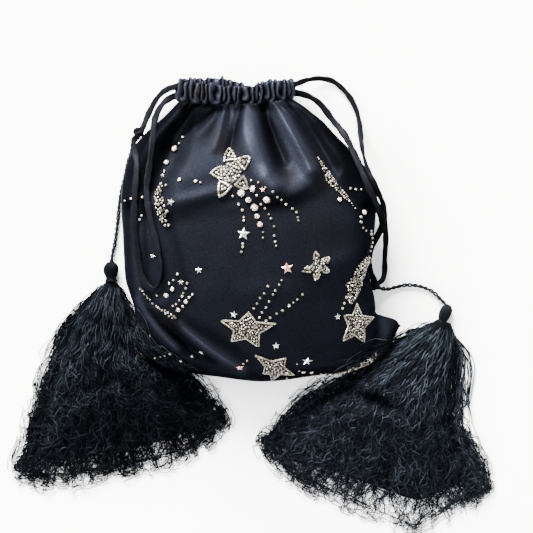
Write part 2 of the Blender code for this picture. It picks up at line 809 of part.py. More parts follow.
def make_stud(tree, name, row):
    """A flat five-pointed metal star with a raised middle."""
    photo_x, photo_y, size, turn = row
    radius = size * STUD_RADIUS
    turn = math.radians(turn)
    plan = []
    for u, v in star_shape(STUD_NOTCH):
        plan.append((radius * (u * math.cos(turn) - v * math.sin(turn)),
                     radius * (u * math.sin(turn) + v * math.cos(turn))))
    base, side, up, out = seat(tree, across(photo_x), along(photo_y), plan)
    mesh = bmesh.new()
    low = [mesh.verts.new(base + side * u + up * v) for u, v in plan]
    high = [mesh.verts.new(base + side * u + up * v + out * STUD_THICKNESS / 2) for u, v in plan]
    top = mesh.verts.new(base + out * STUD_THICKNESS)
    strip(mesh, low, high)
    for k in range(len(high)):
        mesh.faces.new((high[k], high[(k + 1) % len(high)], top))
    mesh.faces.new(low)
    bmesh.ops.triangulate(mesh, faces=mesh.faces)
    return finish(mesh, name, SILVER, smooth=False)


def smooth_route(route, spacing):
    """A smooth curve through the route's points, read at even steps."""
    points = [Vector(p) for p in route]
    fine = []
    for k in range(len(points) - 1):
        p0, p1 = points[max(k - 1, 0)], points[k]
        p2, p3 = points[k + 1], points[min(k + 2, len(points) - 1)]
        for n in range(ROUTE_STEPS):
            t = n / ROUTE_STEPS
            fine.append(0.5 * (2 * p1 + (p2 - p0) * t + (2 * p0 - 5 * p1 + 4 * p2 - p3) * t * t
                               + (3 * p1 - p0 - 3 * p2 + p3) * t ** 3))
    fine.append(points[-1])
    ways = [0.0]
    for a, b in zip(fine, fine[1:]):
        ways.append(ways[-1] + (b - a).length)
    count = max(2, round(ways[-1] / spacing))
    even, k = [], 0
    for n in range(count + 1):
        way = ways[-1] * n / count
        while k < len(fine) - 2 and ways[k + 1] < way:
            k += 1
        even.append(fine[k].lerp(fine[k + 1], (way - ways[k]) / (ways[k + 1] - ways[k])))
    return even


def make_cord(name, route, diameter, look):
    """A cord as a tube along its route."""
    points = smooth_route(route, diameter / POINTS_A_DIAMETER)
    curve = bpy.data.curves.new(name, "CURVE")
    curve.dimensions = "3D"
    curve.bevel_depth = diameter / 2
    curve.bevel_resolution = 2
    curve.use_fill_caps = True
    spline = curve.splines.new("POLY")
    spline.points.add(len(points) - 1)
    for point, place in zip(spline.points, points):
        point.co = (*place, 1.0)
    made = bpy.data.objects.new(name, curve)
    bpy.context.scene.collection.objects.link(made)
    curve.materials.append(material(name + "_finish", look))
    return made


def make_knot(name, centre, axis):
    """A tied knot: a lump with a waist, turned about the cord."""
    axis = Vector(axis).normalized()
    side = axis.cross(Vector((0, 0, 1))).normalized()
    up = side.cross(axis)
    mesh = bmesh.new()
    rings = []
    for way, share in KNOT_ROWS:
        ring = []
        for k in range(KNOT_SIDES):
            turn = 2 * math.pi * (k + way) / KNOT_SIDES
            flat = side * math.cos(turn) + up * math.sin(turn)
            point = Vector(centre) + (axis * way + flat * share) * KNOT_RADIUS
            ring.append(mesh.verts.new(point))
        rings.append(ring)
    for first, second in zip(rings, rings[1:]):
        strip(mesh, first, second)
    mesh.faces.new(rings[0])
    mesh.faces.new(rings[-1])
    return finish(mesh, name, STRING_SATIN)


def tassel_ring(row, depth, head):
    """One section of a tassel: three points over each lock, then two under it."""
    left = Vector((row[0], row[1])) * TASSEL_LENGTH + Vector(head)
    right = Vector((row[2], row[3])) * TASSEL_LENGTH + Vector(head)
    edge = HEAD_EDGE + (SKIRT_EDGE - HEAD_EDGE) * depth
    top, bottom = [], []
    for lock in range(LOCKS):
        for inside, is_ridge in LOCK_POINTS:
            share = (lock + inside) / LOCKS
            flat = left.lerp(right, share)
            dome = max(0.0, 1 - abs(2 * share - 1) ** TASSEL_DOME) ** 0.5
            groove = 1.0 if is_ridge else 1.0 - LOCK_GROOVE * depth
            height = row[4] * TASSEL_DEPTH * (edge + (1 - edge) * dome) * groove
            top.append(Vector((flat.x, flat.y, height)))
            if not is_ridge:
                bottom.append(Vector((flat.x, flat.y, 0.0)))
    return top + bottom[::-1]


def make_tassel(name, head, rows, tips):
    """A bound head and a skirt of locks in one body. Each lock ends in a free tip."""
    mesh = bmesh.new()
    rings = []
    for k, row in enumerate(rows):
        points = tassel_ring(row, k / (len(rows) - 1), head)
        rings.append([mesh.verts.new(point) for point in points])
    for first, second in zip(rings, rings[1:]):
        strip(mesh, first, second)
    mesh.faces.new(rings[0])
    end = rings[-1]
    ends = []
    for lock in range(LOCKS):
        low = len(end) - 1 - 2 * lock
        corners = [end[3 * lock], end[3 * lock + 1], end[3 * lock + 2], end[low - 1], end[low]]
        ends.append(mesh.faces.new(corners))
        if lock < LOCKS - 1:
            mesh.faces.new((end[3 * lock + 2], end[3 * lock + 3], end[low - 2], end[low - 1]))
    root = Vector((*head, 0.0))
    for face, tip in zip(ends, tips):
        way = face.calc_center_median() - root
        way = Vector((way.x, way.y, 0.0)).normalized()
        for share, width, lower in LOCK_STEPS:
            face = bmesh.ops.extrude_discrete_faces(mesh, faces=[face])["faces"][0]
            centre = face.calc_center_median()
            for corner in face.verts:
                flat = (corner.co - centre) * width
                height = corner.co.z * lower
                moved = centre + flat + way * share * tip * TASSEL_LENGTH
                corner.co = Vector((moved.x, moved.y, height))
    bmesh.ops.triangulate(mesh, faces=mesh.faces)
    return finish(mesh, name, THREAD)


def main():
    clear_scene()
    body = make_body()
    make_casing()
    tree = surface_tree(body)
    for row in STARS:
        make_star(tree, row)
    for k, row in enumerate(STONES):
        make_stone(tree, f"stone_{k + 1:02d}", row)
    for k, row in enumerate(STUDS):
        make_stud(tree, f"metal_star_{k + 1:02d}", row)
    make_cord("drawstring_left", LEFT_STRING_ROUTE, STRING_WIDTH, STRING_SATIN)
    make_cord("drawstring_left_loop", LEFT_LOOP_ROUTE, STRING_WIDTH, STRING_SATIN)
    make_cord("drawstring_right", RIGHT_STRING_ROUTE, STRING_WIDTH, STRING_SATIN)
    make_cord("drawstring_right_inner", RIGHT_INNER_ROUTE, STRING_WIDTH, STRING_SATIN)
    make_cord("tassel_cord_left", LEFT_CORD_ROUTE, CORD_DIAMETER, THREAD)
    make_cord("tassel_cord_right", RIGHT_CORD_ROUTE, CORD_DIAMETER, THREAD)
    make_knot("knot_left", *LEFT_KNOT)
    make_knot("knot_right", *RIGHT_KNOT)
    make_tassel("tassel_left", LEFT_TASSEL_HEAD, LEFT_TASSEL_ROWS, LEFT_LOCK_TIPS)
    make_tassel("tassel_right", RIGHT_TASSEL_HEAD, RIGHT_TASSEL_ROWS, RIGHT_LOCK_TIPS)


main()
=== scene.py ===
"""The looks of a black satin evening pouch: its cloth, strings, tassels, beaded stars and stones.

Metres, in the frame of the CAD model. The pouch lies on its back: +X is its right, +Y its mouth
and +Z its front. Places written as photo pixels are read with across() and along().
"""

import math

import bpy
import numpy as np
from mathutils import Matrix, Vector
from mathutils.bvhtree import BVHTree


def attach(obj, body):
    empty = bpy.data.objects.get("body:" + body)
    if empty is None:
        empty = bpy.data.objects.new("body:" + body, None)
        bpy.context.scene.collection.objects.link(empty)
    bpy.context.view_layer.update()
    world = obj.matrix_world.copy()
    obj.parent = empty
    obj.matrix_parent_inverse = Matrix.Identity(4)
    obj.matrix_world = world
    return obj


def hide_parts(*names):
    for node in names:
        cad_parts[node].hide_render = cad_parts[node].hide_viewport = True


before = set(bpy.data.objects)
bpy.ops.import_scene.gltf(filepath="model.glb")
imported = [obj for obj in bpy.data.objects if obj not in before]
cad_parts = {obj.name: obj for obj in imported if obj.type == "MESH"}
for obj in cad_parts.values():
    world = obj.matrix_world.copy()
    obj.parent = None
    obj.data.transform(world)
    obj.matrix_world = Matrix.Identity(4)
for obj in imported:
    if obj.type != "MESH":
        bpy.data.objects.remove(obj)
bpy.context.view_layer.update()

bl_info = {
    "name": "Evening pouch",
    "version": (1, 0, 0),
    "blender": (4, 5, 0),
    "location": "View3D > Sidebar > Pouch",
    "description": "Makes the satin, strings, tassels, beaded stars and stones of an evening pouch",
    "category": "Add Mesh",
}

POUCH_WIDTH = 0.192
BODY_HEIGHT = 0.214
POUCH_DEPTH = 0.062
CASING_HEIGHT = 0.0142
CASING_GAP = 0.0006
CASING_TAPER = 0.02
# How far a string is drawn on inside the casing
STRING_INSIDE = 0.0035
STRING_SIDES = 14
# Where along a string it turns over, and how far that takes, as shares of its length
TURNS_OVER = (0.42, 0.16)
# Steps along strings and cords, and the length in which a cord's plies go round once
STRING_STEP = 0.0011
CORD_STEP = 0.0006
CORD_PITCH = 0.0082
STONE_DIAMETER = 0.0052
STUD_RADIUS = 0.0036

# Lights: name, place, which power it has and its share of that, size, colour
LIGHTS = (
    ("key_light", (-1.6, 4.65, 2.45), "key", 1.0, 3.0, (1.0, 0.975, 0.915)),
    ("left_light", (-3.4, 1.6, 2.0), "side", 1.0, 1.3, (0.96, 0.98, 1.0)),
    ("foot_light", (-1.6, -3.2, 1.5), "side", 0.8, 1.0, (1.0, 0.97, 0.94)),
)

# Where the photo shows the body: its middle line, half its width, its foot and its rise, in pixels
PHOTO_SIZE = 533
PHOTO_MIDDLE = 248.5
PHOTO_HALF_WIDTH = 128.0
PHOTO_FOOT = 382.0
PHOTO_RISE = 285.0
FOOT_SHARE = 0.52
PHOTO_CENTRE = (266.5, 266.5)

# The body from the bottom seam, 0, to the neck, 1.
# rise, left edge and right edge in photo pixels, then crown, edge and back as shares of the depth
ROWS = np.array((
    (0.000, 128.0, 401.0, 0.222, 0.090, 0.150),
    (0.030, 130.0, 395.0, 0.460, 0.140, 0.030),
    (0.052, 132.0, 378.0, 0.560, 0.200, 0.000),
    (0.080, 134.0, 376.0, 0.640, 0.260, 0.000),
    (0.120, 136.0, 375.0, 0.730, 0.300, 0.000),
    (0.190, 131.0, 371.0, 0.840, 0.340, 0.000),
    (0.260, 125.5, 368.0, 0.910, 0.360, 0.000),
    (0.320, 124.0, 369.3, 0.955, 0.370, 0.000),
    (0.400, 123.0, 374.0, 0.990, 0.380, 0.000),
    (0.480, 122.0, 376.0, 1.000, 0.380, 0.000),
    (0.550, 121.0, 378.0, 0.990, 0.380, 0.000),
    (0.630, 121.0, 373.5, 0.950, 0.370, 0.000),
    (0.700, 123.5, 364.7, 0.890, 0.350, 0.000),
    (0.770, 128.0, 351.6, 0.800, 0.320, 0.000),
    (0.840, 139.0, 335.4, 0.690, 0.285, 0.000),
    (0.900, 154.0, 323.0, 0.580, 0.250, 0.000),
    (0.940, 165.0, 311.8, 0.490, 0.220, 0.005),
    (0.970, 172.0, 303.0, 0.420, 0.200, 0.010),
    (1.000, 179.0, 292.0, 0.360, 0.190, 0.020),
))
LEFT, RIGHT, CROWN, EDGE, BACK = range(1, 6)
ROUND_FRONT = 2.4
ROUND_BACK = 3.0
BACK_PRESS = 1.25

# The bottom seam and the neck seam, read across the pouch: share of the half width, photo height
BOTTOM_SEAM = np.array((
    (-1.00, 345),
    (-0.80, 363.5),
    (-0.59, 372),
    (-0.33, 377.5),
    (0.00, 382),
    (0.38, 376),
    (0.61, 371),
    (0.83, 359),
    (0.92, 346),
    (1.00, 326),
))
NECK_SEAM = np.array(((-1, 100), (-0.5, 103.3), (0.0, 104), (0.5, 102.7), (1, 98)))
# How far the casing stands above the neck seam, as shares of its height: across, front, back
CASING_LIPS = np.array((
    (-1.0, 1.00, 1.00),
    (-0.5, 0.96, 1.38),
    (0.0, 0.84, 1.20),
    (0.25, 0.88, 0.90),
    (0.5, 0.98, 1.09),
    (1.0, 0.95, 0.95),
))
# The casing's cloth from its seam over its fold and down inside:
# step, share of its height, swell in metres, share of the pleats' depth
CASING_FACE = np.array((
    (0.00, -0.10, -0.0006, 0.30),
    (0.10, 0.02, 0.0008, 0.75),
    (0.30, 0.30, 0.0016, 1.00),
    (0.52, 0.68, 0.0015, 1.00),
    (0.66, 0.92, 0.0008, 0.95),
    (0.74, 1.01, -0.0002, 0.80),
    (0.82, 0.98, -0.0014, 0.60),
    (0.90, 0.80, -0.0022, 0.45),
    (1.00, 0.30, -0.0024, 0.30),
))

# Folds of the front: start, middle and end in photo pixels, half widths to the left and right of
# the way along the fold, height as a share of the depth
FOLDS = (
    ("left_shoulder_valley", (196, 110), (172, 150), (158, 188), 12, 12, -0.105),
    ("left_shoulder_puff", (180, 104), (148, 124), (132, 166), 13, 14, 0.120),
    ("left_side_valley", (152, 182), (173, 231), (190, 279), 13, 13, -0.022),
    ("left_bulge_edge", (223, 110), (197, 124), (180, 142), 10, 8, 0.060),
    ("upper_middle_ridge", (226, 107), (222, 128), (215, 148), 5, 5, 0.030),
    ("upper_middle_valley", (240, 107), (236, 130), (229, 152), 4, 4, -0.055),
    ("great_ridge", (249, 102), (248, 138), (270, 184), 14, 16, 0.145),
    ("great_ridge_hook", (266, 180), (284, 202), (309, 180), 13, 7, 0.070),
    ("middle_valley", (263, 104), (270, 130), (283, 160), 6, 8, -0.115),
    ("right_ridge", (278, 102), (294, 131), (313, 168), 11, 9, 0.120),
    ("right_valley", (290, 103), (310, 131), (331, 168), 8, 10, -0.120),
    ("right_shoulder_puff", (304, 102), (338, 122), (362, 166), 12, 12, 0.125),
    ("sheen_band_edge", (170, 206), (205, 198), (230, 190), 8, 6, 0.042),
    ("sheen_band_foot", (174, 218), (206, 208), (232, 201), 11, 9, -0.020),
    ("lower_left_roll", (137, 300), (150, 325), (177, 346), 6, 6, 0.105),
    ("lower_roll", (182, 326), (212, 353), (244, 368), 6, 6, 0.100),
    ("between_rolls", (160, 318), (188, 348), (212, 363), 7, 8, -0.075),
    ("middle_swell", (225, 285), (259, 280), (295, 290), 18, 18, 0.014),
    ("right_swell", (318, 268), (335, 260), (352, 250), 13, 13, 0.018),
    ("corner_crease", (379, 308), (380, 330), (374, 352), 7, 7, -0.110),
    ("left_pinch", (134, 314), (150, 312), (168, 304), 8, 8, -0.045),
    ("hem_right_swell", (300, 358), (335, 350), (362, 332), 13, 13, 0.022),
    ("casing_dimple_left", (212, 106), (207, 116), (198, 126), 5, 4, -0.030),
    ("casing_ridge_left", (199, 106), (197, 114), (193, 124), 4, 4, 0.022),
    ("small_ridge", (264, 106), (269, 113), (274, 124), 3, 4, 0.020),
    ("shoulder_crease", (300, 110), (318, 124), (334, 144), 4, 4, -0.018),
    ("left_edge_fold", (132, 200), (128, 240), (134, 285), 4, 5, 0.020),
    ("left_edge_crease", (143, 205), (141, 250), (149, 296), 4, 4, -0.022),
    ("left_string_crease", (170, 232), (176, 262), (184, 290), 4, 4, -0.016),
    ("star_crease", (186, 316), (207, 330), (232, 350), 4, 5, 0.016),
    ("hem_crease", (150, 350), (198, 369), (244, 377), 4, 4, -0.020),
    ("hem_roll", (166, 352), (196, 364), (240, 374), 4, 4, 0.014),
    ("right_side_crease", (362, 222), (356, 252), (352, 282), 5, 5, -0.014),
    ("ear_fold", (384, 318), (390, 330), (384, 346), 4, 4, 0.020),
)

# Painted shade (below 0) and painted highlights (above 0) in the satin's colour, where its folds
# turn away from the light or towards it:
# name, start, middle and end on the photo, reach to each side in pixels, share of the painted light
PAINTED_LIGHT_STROKES = (
    ("left_shoulder", (188, 102), (150, 136), (138, 196), 25, 18, -0.80),
    ("right_shoulder", (316, 108), (348, 138), (368, 190), 24, 27, -0.86),
    ("middle_hollow", (264, 106), (270, 132), (281, 162), 6, 8, -0.78),
    ("ridge_hollow", (241, 106), (237, 128), (229, 148), 4, 4, -0.72),
    ("second_hollow", (221, 108), (216, 126), (208, 146), 3, 4, -0.40),
    ("great_ridge_side", (250, 112), (247, 134), (243, 156), 6, 6, 0.75),
    ("bulge_shadow", (206, 106), (188, 121), (168, 142), 7, 7, -0.70),
    ("bulge_top", (212, 118), (198, 136), (188, 162), 9, 9, -0.42),
    ("bulge_hollow", (216, 108), (200, 118), (186, 128), 4, 5, -0.40),
    ("under_the_casing", (184, 108), (236, 108), (289, 106), 4, 4, -0.62),
    ("under_the_hook", (254, 204), (292, 214), (324, 186), 8, 7, -0.70),
    ("under_the_band", (166, 222), (206, 214), (240, 208), 11, 8, -0.60),
    ("band", (182, 190), (208, 182), (232, 170), 9, 9, -0.40),
    ("great_ridge_face", (252, 108), (252, 140), (264, 172), 8, 10, 0.45),
    ("hook_face", (258, 172), (280, 194), (306, 182), 9, 9, 1.00),
    ("right_ridge_face", (275, 106), (288, 132), (307, 165), 10, 9, 0.85),
    ("left_roll_crest", (138, 300), (151, 326), (178, 348), 3, 3, 1.70),
    ("right_roll_crest", (184, 328), (214, 356), (244, 369), 3, 4, 2.20),
    ("between_the_rolls", (150, 314), (178, 342), (212, 361), 7, 6, -0.82),
    ("outside_the_rolls", (130, 320), (156, 354), (200, 373), 7, 7, -0.85),
    ("above_the_rolls", (180, 316), (208, 334), (244, 354), 7, 5, -0.50),
    ("left_side", (128, 205), (126, 250), (133, 300), 5, 5, -0.45),
    ("left_side_light", (137, 185), (134, 240), (142, 296), 4, 4, 0.45),
    ("left_side_dark", (146, 185), (143, 240), (151, 300), 4, 4, -0.45),
    ("left_edge_line", (170, 215), (180, 262), (192, 300), 4, 5, -0.35),
    ("middle_light", (240, 288), (262, 280), (286, 284), 8, 8, 0.35),
    ("right_light", (316, 266), (336, 258), (352, 250), 7, 7, 0.55),
    ("right_side", (366, 205), (360, 250), (366, 300), 7, 7, -0.40),
    ("ear_face", (380, 320), (390, 332), (388, 346), 6, 6, 0.80),
    ("ear_line", (376, 312), (377, 332), (377, 352), 3, 3, -0.70),
    ("hem", (180, 374), (262, 381), (352, 368), 4, 4, -0.50),
)
# Folds and strokes of painted light with a flat top instead of a round one, and how flat it is: 2
# is round
FLAT_TOPS = {
    "great_ridge": 3.6, "great_ridge_hook": 2.6, "right_ridge": 2.4, "left_shoulder_valley": 2.4,
    "left_shoulder": 4.4, "right_shoulder": 5.0, "right_ridge_face": 5.0, "great_ridge_face": 5.0,
    "middle_hollow": 3.0, "under_the_casing": 3.0, "hook_face": 2.6,
}
# Share of its height that a fold keeps at its ends, and the straight parts of its line
FOLD_ENDS = 0.75
FOLD_PARTS = 12
# The darkest painted shade and the lightest painted highlight that strokes may add up to
PAINTED_LIGHT_RANGE = (-0.9, 3.2)
# How soon the folds rise from the side seam, and the rise at which the gathers start
RELIEF_REACH = 1.3
GATHER_START = 0.92
GATHERS = 13
GATHER_HEIGHT = 0.0022
# The bag's points: across its front, across its back and from the bottom seam to the neck
BAG_FRONT_COLUMNS = 176
BAG_BACK_COLUMNS = 50
BAG_RISES = np.concatenate([np.linspace(0, 0.08, 16)[:-1], np.linspace(0.08, 1.0, 112)])

# The casing's points: round it and up its face
CASING_GRID = (540, 34)
# Its pleats: least and most size, how far their tops rise or fall, how far they lean and wander
PLEAT_SIZES = (0.70, 1.25)
PLEAT_TOPS = 0.12
PLEAT_LEAN = 0.30
PLEAT_WANDER = 0.13
# Pleats join in pairs below this share of the height, and hang over the seam by this much
PAIRED_BELOW = 0.24
FOOT_DROP = 0.0013
# Its painted light, with painted highlights on the pleats' crests and painted shade between them:
# how fast it falls off from the crests, where it is nil, darkest and lightest
CREST_PAINTED_LIGHT = (1.9, 0.76, -0.88, 0.5)
# How much paler the casing's satin is painted than the bag's, as a painted highlight on the same
# satin, and how much glossier it is
CASING_PAINTED_PALER = 2.5
CASING_GLOSS = 0.10

# Beaded stars: node, form, diameter of the beads in metres
STARS = (
    ("star_great", "petals", 0.0023),
    ("star_petal", "petals", 0.0018),
    ("star_comet", "points", 0.0017),
    ("star_hem", "points", 0.0017),
    ("star_right", "points", 0.0016),
    ("star_right_side", "strip", 0.0019),
    ("star_right_shoulder", "strip", 0.0019),
    ("star_left_side", "strip", 0.0026),
    ("star_left_low", "strip", 0.0024),
    ("star_left_corner", "strip", 0.0020),
)
STAR_TIPS = 5
# Tips of the stars that the photo shows from the front, in photo pixels
SEEN_TIPS = {
    "star_great": ((229, 149), (250.5, 157.5), (248, 190), (219.5, 197), (211.5, 174)),
    "star_petal": ((315, 252), (328.5, 257.5), (328.5, 271.5), (315, 279.5), (302, 271)),
    "star_comet": ((249, 311.5), (275.5, 323), (259, 346.5), (231.5, 340.5), (220.5, 319.5)),
    "star_hem": ((255.5, 354.5), (286, 357), (294.5, 374), (272, 380), (263, 372.5)),
    "star_right": ((356, 303.5), (373.5, 317), (364, 342.5), (342, 340.5), (343, 314.5)),
}
# Depth of a star's notches: 1 leaves a plain five-sided shape
STAR_NOTCH = 0.62
# Half width of the petals in photo pixels
PETAL_WIDTH = {"star_great": 6.4, "star_petal": 3.1}
# Outlines of the stars that turn over the pouch's sides, in photo pixels
SEEN_STRIPS = {
    "star_right_side": (
        (368, 254), (370.5, 258), (366, 270), (362, 284), (356.5, 297), (350, 306), (345, 301),
        (346.5, 292), (343.5, 285), (351, 275.5), (357, 263), (363, 257),
    ),
    "star_right_shoulder": (
        (312.5, 154), (318, 158.5), (325, 167), (331, 174), (337, 182), (344, 191), (352, 203),
        (357, 210), (354, 210), (348, 204), (339, 196), (332, 189), (326, 186), (323, 177),
        (318, 165),
    ),
    "star_left_side": (
        (164, 181), (165, 187), (163.5, 195), (167, 204), (170, 211), (168, 218), (171.5, 225),
        (169.5, 231), (162, 226), (158, 218), (154.5, 207), (152.5, 195), (157, 190), (160, 184),
    ),
    "star_left_low": (
        (139, 284), (147, 291), (154.5, 300), (162, 305), (169, 310), (177, 315), (181, 319),
        (173, 319), (166, 314), (158.5, 308.5), (151.5, 303.5), (145, 296), (140, 289),
    ),
    "star_left_corner": (
        (130, 346), (137, 347), (144, 353), (147.5, 359), (141, 359.5), (133.5, 355),
    ),
}

# Tones of the beads, from 0, smoky, to 1, bright: the edging of petals and of points, the inner
# rows of petals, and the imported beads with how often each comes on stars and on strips
PETAL_EDGE_TONES = (0.30, 0.50, 0.66, 0.76)
POINT_EDGE_TONES = (0.42, 0.56, 0.70, 0.80)
PETAL_ROW_TONES = (0.40, 0.60, 0.72, 0.80, 0.86)
PACKED_TONES = (0.10, 0.45, 0.62, 0.72, 0.80, 0.86)
STAR_SHARES = (0.12, 0.16, 0.22, 0.22, 0.18, 0.10)
STRIP_SHARES = (0.26, 0.24, 0.18, 0.14, 0.10, 0.08)
# The rows inside a petal, as shares of its outline, and the rings of a star's pad
PETAL_ROWS = (0.46, 0.08)
PAD_RINGS = (1.0, 0.80, 0.50, 0.20)
# How high beads stand at a star's edge, and how much more this far inside it: rows, packed beads
ROW_LIFT = (0.0008, 0.0010)
PACKED_LIFT = (0.0009, 0.0012)
MOUND_REACH = 0.004
# Places where packed beads are tried
BEAD_TRIES = 5000

# Round stones in cups: place in photo pixels, diameter as a share of STONE_DIAMETER
STONES = (
    (241.5, 194.2, 1.20), (253.4, 189.5, 1.00), (267.0, 199.5, 1.20), (248.5, 201.0, 0.94),
    (254.6, 208.5, 1.14), (257.0, 217.0, 0.86), (260.0, 225.0, 0.90), (175.0, 149.0, 0.92),
    (166.5, 163.0, 0.80), (180.0, 180.5, 0.62), (173.0, 288.6, 0.72), (167.0, 294.6, 0.82),
    (186.6, 301.0, 0.72), (179.0, 309.4, 0.72), (303.5, 371.0, 0.72), (311.8, 371.5, 0.72),
    (363.0, 212.5, 0.84), (339.0, 200.0, 0.72), (196.0, 182.0, 0.55),
)

# A stone shows a little smaller than its solid. Each is turned on from the last, in degrees
STONE_SHOWN = 0.88
STONE_LIFT = 0.62
STONE_TURN = 37.0
# The cups are as much darker than pewter
CUP_TONE = 0.4
PRONGS = 4

# Metal stars: place in photo pixels, radius as a share of STUD_RADIUS, first tip, metal
METAL_STARS = (
    (243.6, 234.0, 1.42, 84, "silver"),
    (199.4, 270.0, 0.80, 96, "silver"),
    (287.0, 268.0, 1.25, 100, "rose"),
    (263.0, 190.0, 0.74, 90, "rose"),
    (234.0, 314.0, 0.82, 80, "silver"),
    (276.0, 345.0, 0.84, 95, "silver"),
    (307.0, 360.5, 1.25, 85, "silver"),
    (239.5, 367.0, 0.80, 92, "rose"),
    (337.2, 316.4, 0.70, 98, "silver"),
    (171.6, 202.7, 0.95, 75, "pewter"),
    (163.0, 176.0, 0.62, 100, "pewter"),
    (181.6, 282.0, 0.66, 88, "pewter"),
    (150.5, 336.0, 0.66, 90, "pewter"),
    (153.5, 256.0, 0.60, 70, "pewter"),
    (201.5, 352.0, 0.66, 95, "pewter"),
)

# Single beads sewn in trails: places in photo pixels
BEAD_TRAILS = (
    ((252, 181), (259, 183), (266, 188), (273, 192), (277, 197), (281, 200), (286, 205),
     (292, 209.5), (296, 213), (297.5, 218), (298, 221)),
    ((257, 196), (261, 205), (265, 209), (269, 215), (271, 219), (274, 227), (274, 236),
     (275, 242), (276, 246), (263, 232.5), (263, 238)),
    ((233, 197), (239, 205), (242.5, 211), (244, 218), (244, 221), (243, 244), (243, 247),
     (241.5, 252)),
    ((254, 308), (257, 303), (260, 297.5), (264, 293), (268, 286)),
    ((259.5, 317), (262, 312), (266, 307), (269, 301), (273, 294), (275, 290), (279, 284.5),
     (281.6, 280)),
    ((266, 320), (270, 317), (276.5, 313), (282.5, 310), (289, 305), (293, 302), (297, 299),
     (302, 294)),
    ((247, 360), (243, 363.5), (297, 363), (299, 370), (321, 373), (326, 373), (287, 377)),
    ((183, 138), (179.5, 144), (165, 172), (167, 186), (201, 183.5), (126, 201),
     (132, 199), (143, 198), (142.5, 216), (140.5, 220)),
    ((188, 283), (186.6, 288), (184, 293), (183, 296), (180, 300), (177, 303.5), (174, 305.5)),
    ((193, 294), (190, 297), (183.5, 306), (158, 295), (178, 274), (174, 280), (170, 283)),
    ((161, 356), (165, 355), (170.5, 353), (181, 360), (192, 356), (155, 357)),
    ((350, 189), (355, 190), (360.5, 190), (360, 217), (360, 222), (362, 228), (365, 231),
     (370, 231), (370, 234), (371, 238), (371, 242.5), (370, 246.5), (369, 250.5)),
    ((345.6, 297), (343.5, 303), (342, 308)),
)
# The beaded strip that peeks out under the hem, from its left end, in photo pixels
HEM_STRIP = ((331, 376.5), (340, 375), (350, 371), (360, 366.5), (369, 361), (376, 355))
HEM_BEADS = 130
HEM_BEAD = 0.0018
HEM_HALF_WIDTH = 0.0022

# Strings: node, real length, width, how often it turns over, and its route, in metres
STRINGS = (
    ("drawstring_left", 0.046, 0.0046, 0.0, (
        (-0.0554, 0.1108, 0.0125), (-0.0600, 0.1096, 0.0118), (-0.0660, 0.1058, 0.0100),
        (-0.0712, 0.0990, 0.0085), (-0.0754, 0.0907, 0.0085), (-0.0782, 0.0840, 0.0105),
        (-0.0796, 0.0803, 0.0122),
    )),
    ("drawstring_left_loop", 0.298, 0.0050, 1.0, (
        (-0.0541, 0.1044, 0.0090), (-0.0590, 0.1026, 0.0094), (-0.0645, 0.0982, 0.0120),
        (-0.0686, 0.0915, 0.0180), (-0.0710, 0.0824, 0.0270), (-0.0720, 0.0689, 0.0360),
        (-0.0739, 0.0517, 0.0435), (-0.0761, 0.0329, 0.0484), (-0.0739, 0.0149, 0.0528),
        (-0.0686, -0.0069, 0.0565), (-0.0656, -0.0227, 0.0570), (-0.0656, -0.0347, 0.0555),
        (-0.0694, -0.0414, 0.0533), (-0.0750, -0.0392, 0.0513), (-0.0799, -0.0309, 0.0503),
        (-0.0836, -0.0084, 0.0488), (-0.0851, 0.0141, 0.0480), (-0.0846, 0.0329, 0.0468),
        (-0.0836, 0.0517, 0.0420), (-0.0854, 0.0618, 0.0344), (-0.0863, 0.0698, 0.0238),
        (-0.0838, 0.0732, 0.0166),
    )),
    ("drawstring_right", 0.212, 0.0042, 1.0, (
        (0.0340, 0.1122, 0.0140), (0.0385, 0.1140, 0.0122), (0.0450, 0.1163, 0.0085),
        (0.0544, 0.1174, 0.0045), (0.0649, 0.1147, 0.0024), (0.0746, 0.1057, 0.0024),
        (0.0803, 0.0960, 0.0030), (0.0833, 0.0854, 0.0065), (0.0844, 0.0749, 0.0130),
        (0.0855, 0.0644, 0.0222), (0.0889, 0.0494, 0.0330), (0.0949, 0.0359, 0.0364),
        (0.1007, 0.0231, 0.0268), (0.1028, 0.0104, 0.0145), (0.1035, -0.0047, 0.0070),
        (0.1028, -0.0182, 0.0042), (0.1028, -0.0272, 0.0046), (0.1016, -0.0334, 0.0066),
        (0.0995, -0.0360, 0.0080),
    )),
    ("drawstring_right_inner", 0.190, 0.0050, 0.0, (
        (0.0348, 0.1065, 0.0090), (0.0400, 0.1056, 0.0083), (0.0466, 0.1032, 0.0080),
        (0.0545, 0.0974, 0.0087), (0.0634, 0.0858, 0.0110), (0.0722, 0.0746, 0.0185),
        (0.0780, 0.0629, 0.0305), (0.0844, 0.0479, 0.0382), (0.0906, 0.0329, 0.0420),
        (0.0975, 0.0186, 0.0368), (0.1003, 0.0100, 0.0240), (0.0992, 0.0026, 0.0140),
        (0.0953, -0.0047, 0.0082), (0.0916, -0.0137, 0.0060), (0.0904, -0.0227, 0.0058),
        (0.0922, -0.0300, 0.0075), (0.0944, -0.0342, 0.0100),
    )),
)
TWISTED_CORDS = (
    ("tassel_cord_left", 0.100, (
        (-0.0840, 0.0744, 0.0100), (-0.0866, 0.0682, 0.0075), (-0.0898, 0.0584, 0.0048),
        (-0.0941, 0.0411, 0.0022), (-0.0975, 0.0246, 0.0016), (-0.0990, 0.0096, 0.0016),
        (-0.1009, -0.0054, 0.0016), (-0.1028, -0.0152, 0.0018), (-0.1039, -0.0219, 0.0027),
    )),
    ("tassel_cord_right", 0.057, (
        (0.0984, -0.0404, 0.0067), (0.1040, -0.0416, 0.0034), (0.1106, -0.0403, 0.0017),
        (0.1196, -0.0384, 0.0016), (0.1309, -0.0399, 0.0016), (0.1391, -0.0437, 0.0016),
        (0.1451, -0.0493, 0.0018), (0.1497, -0.0541, 0.0026),
    )),
)
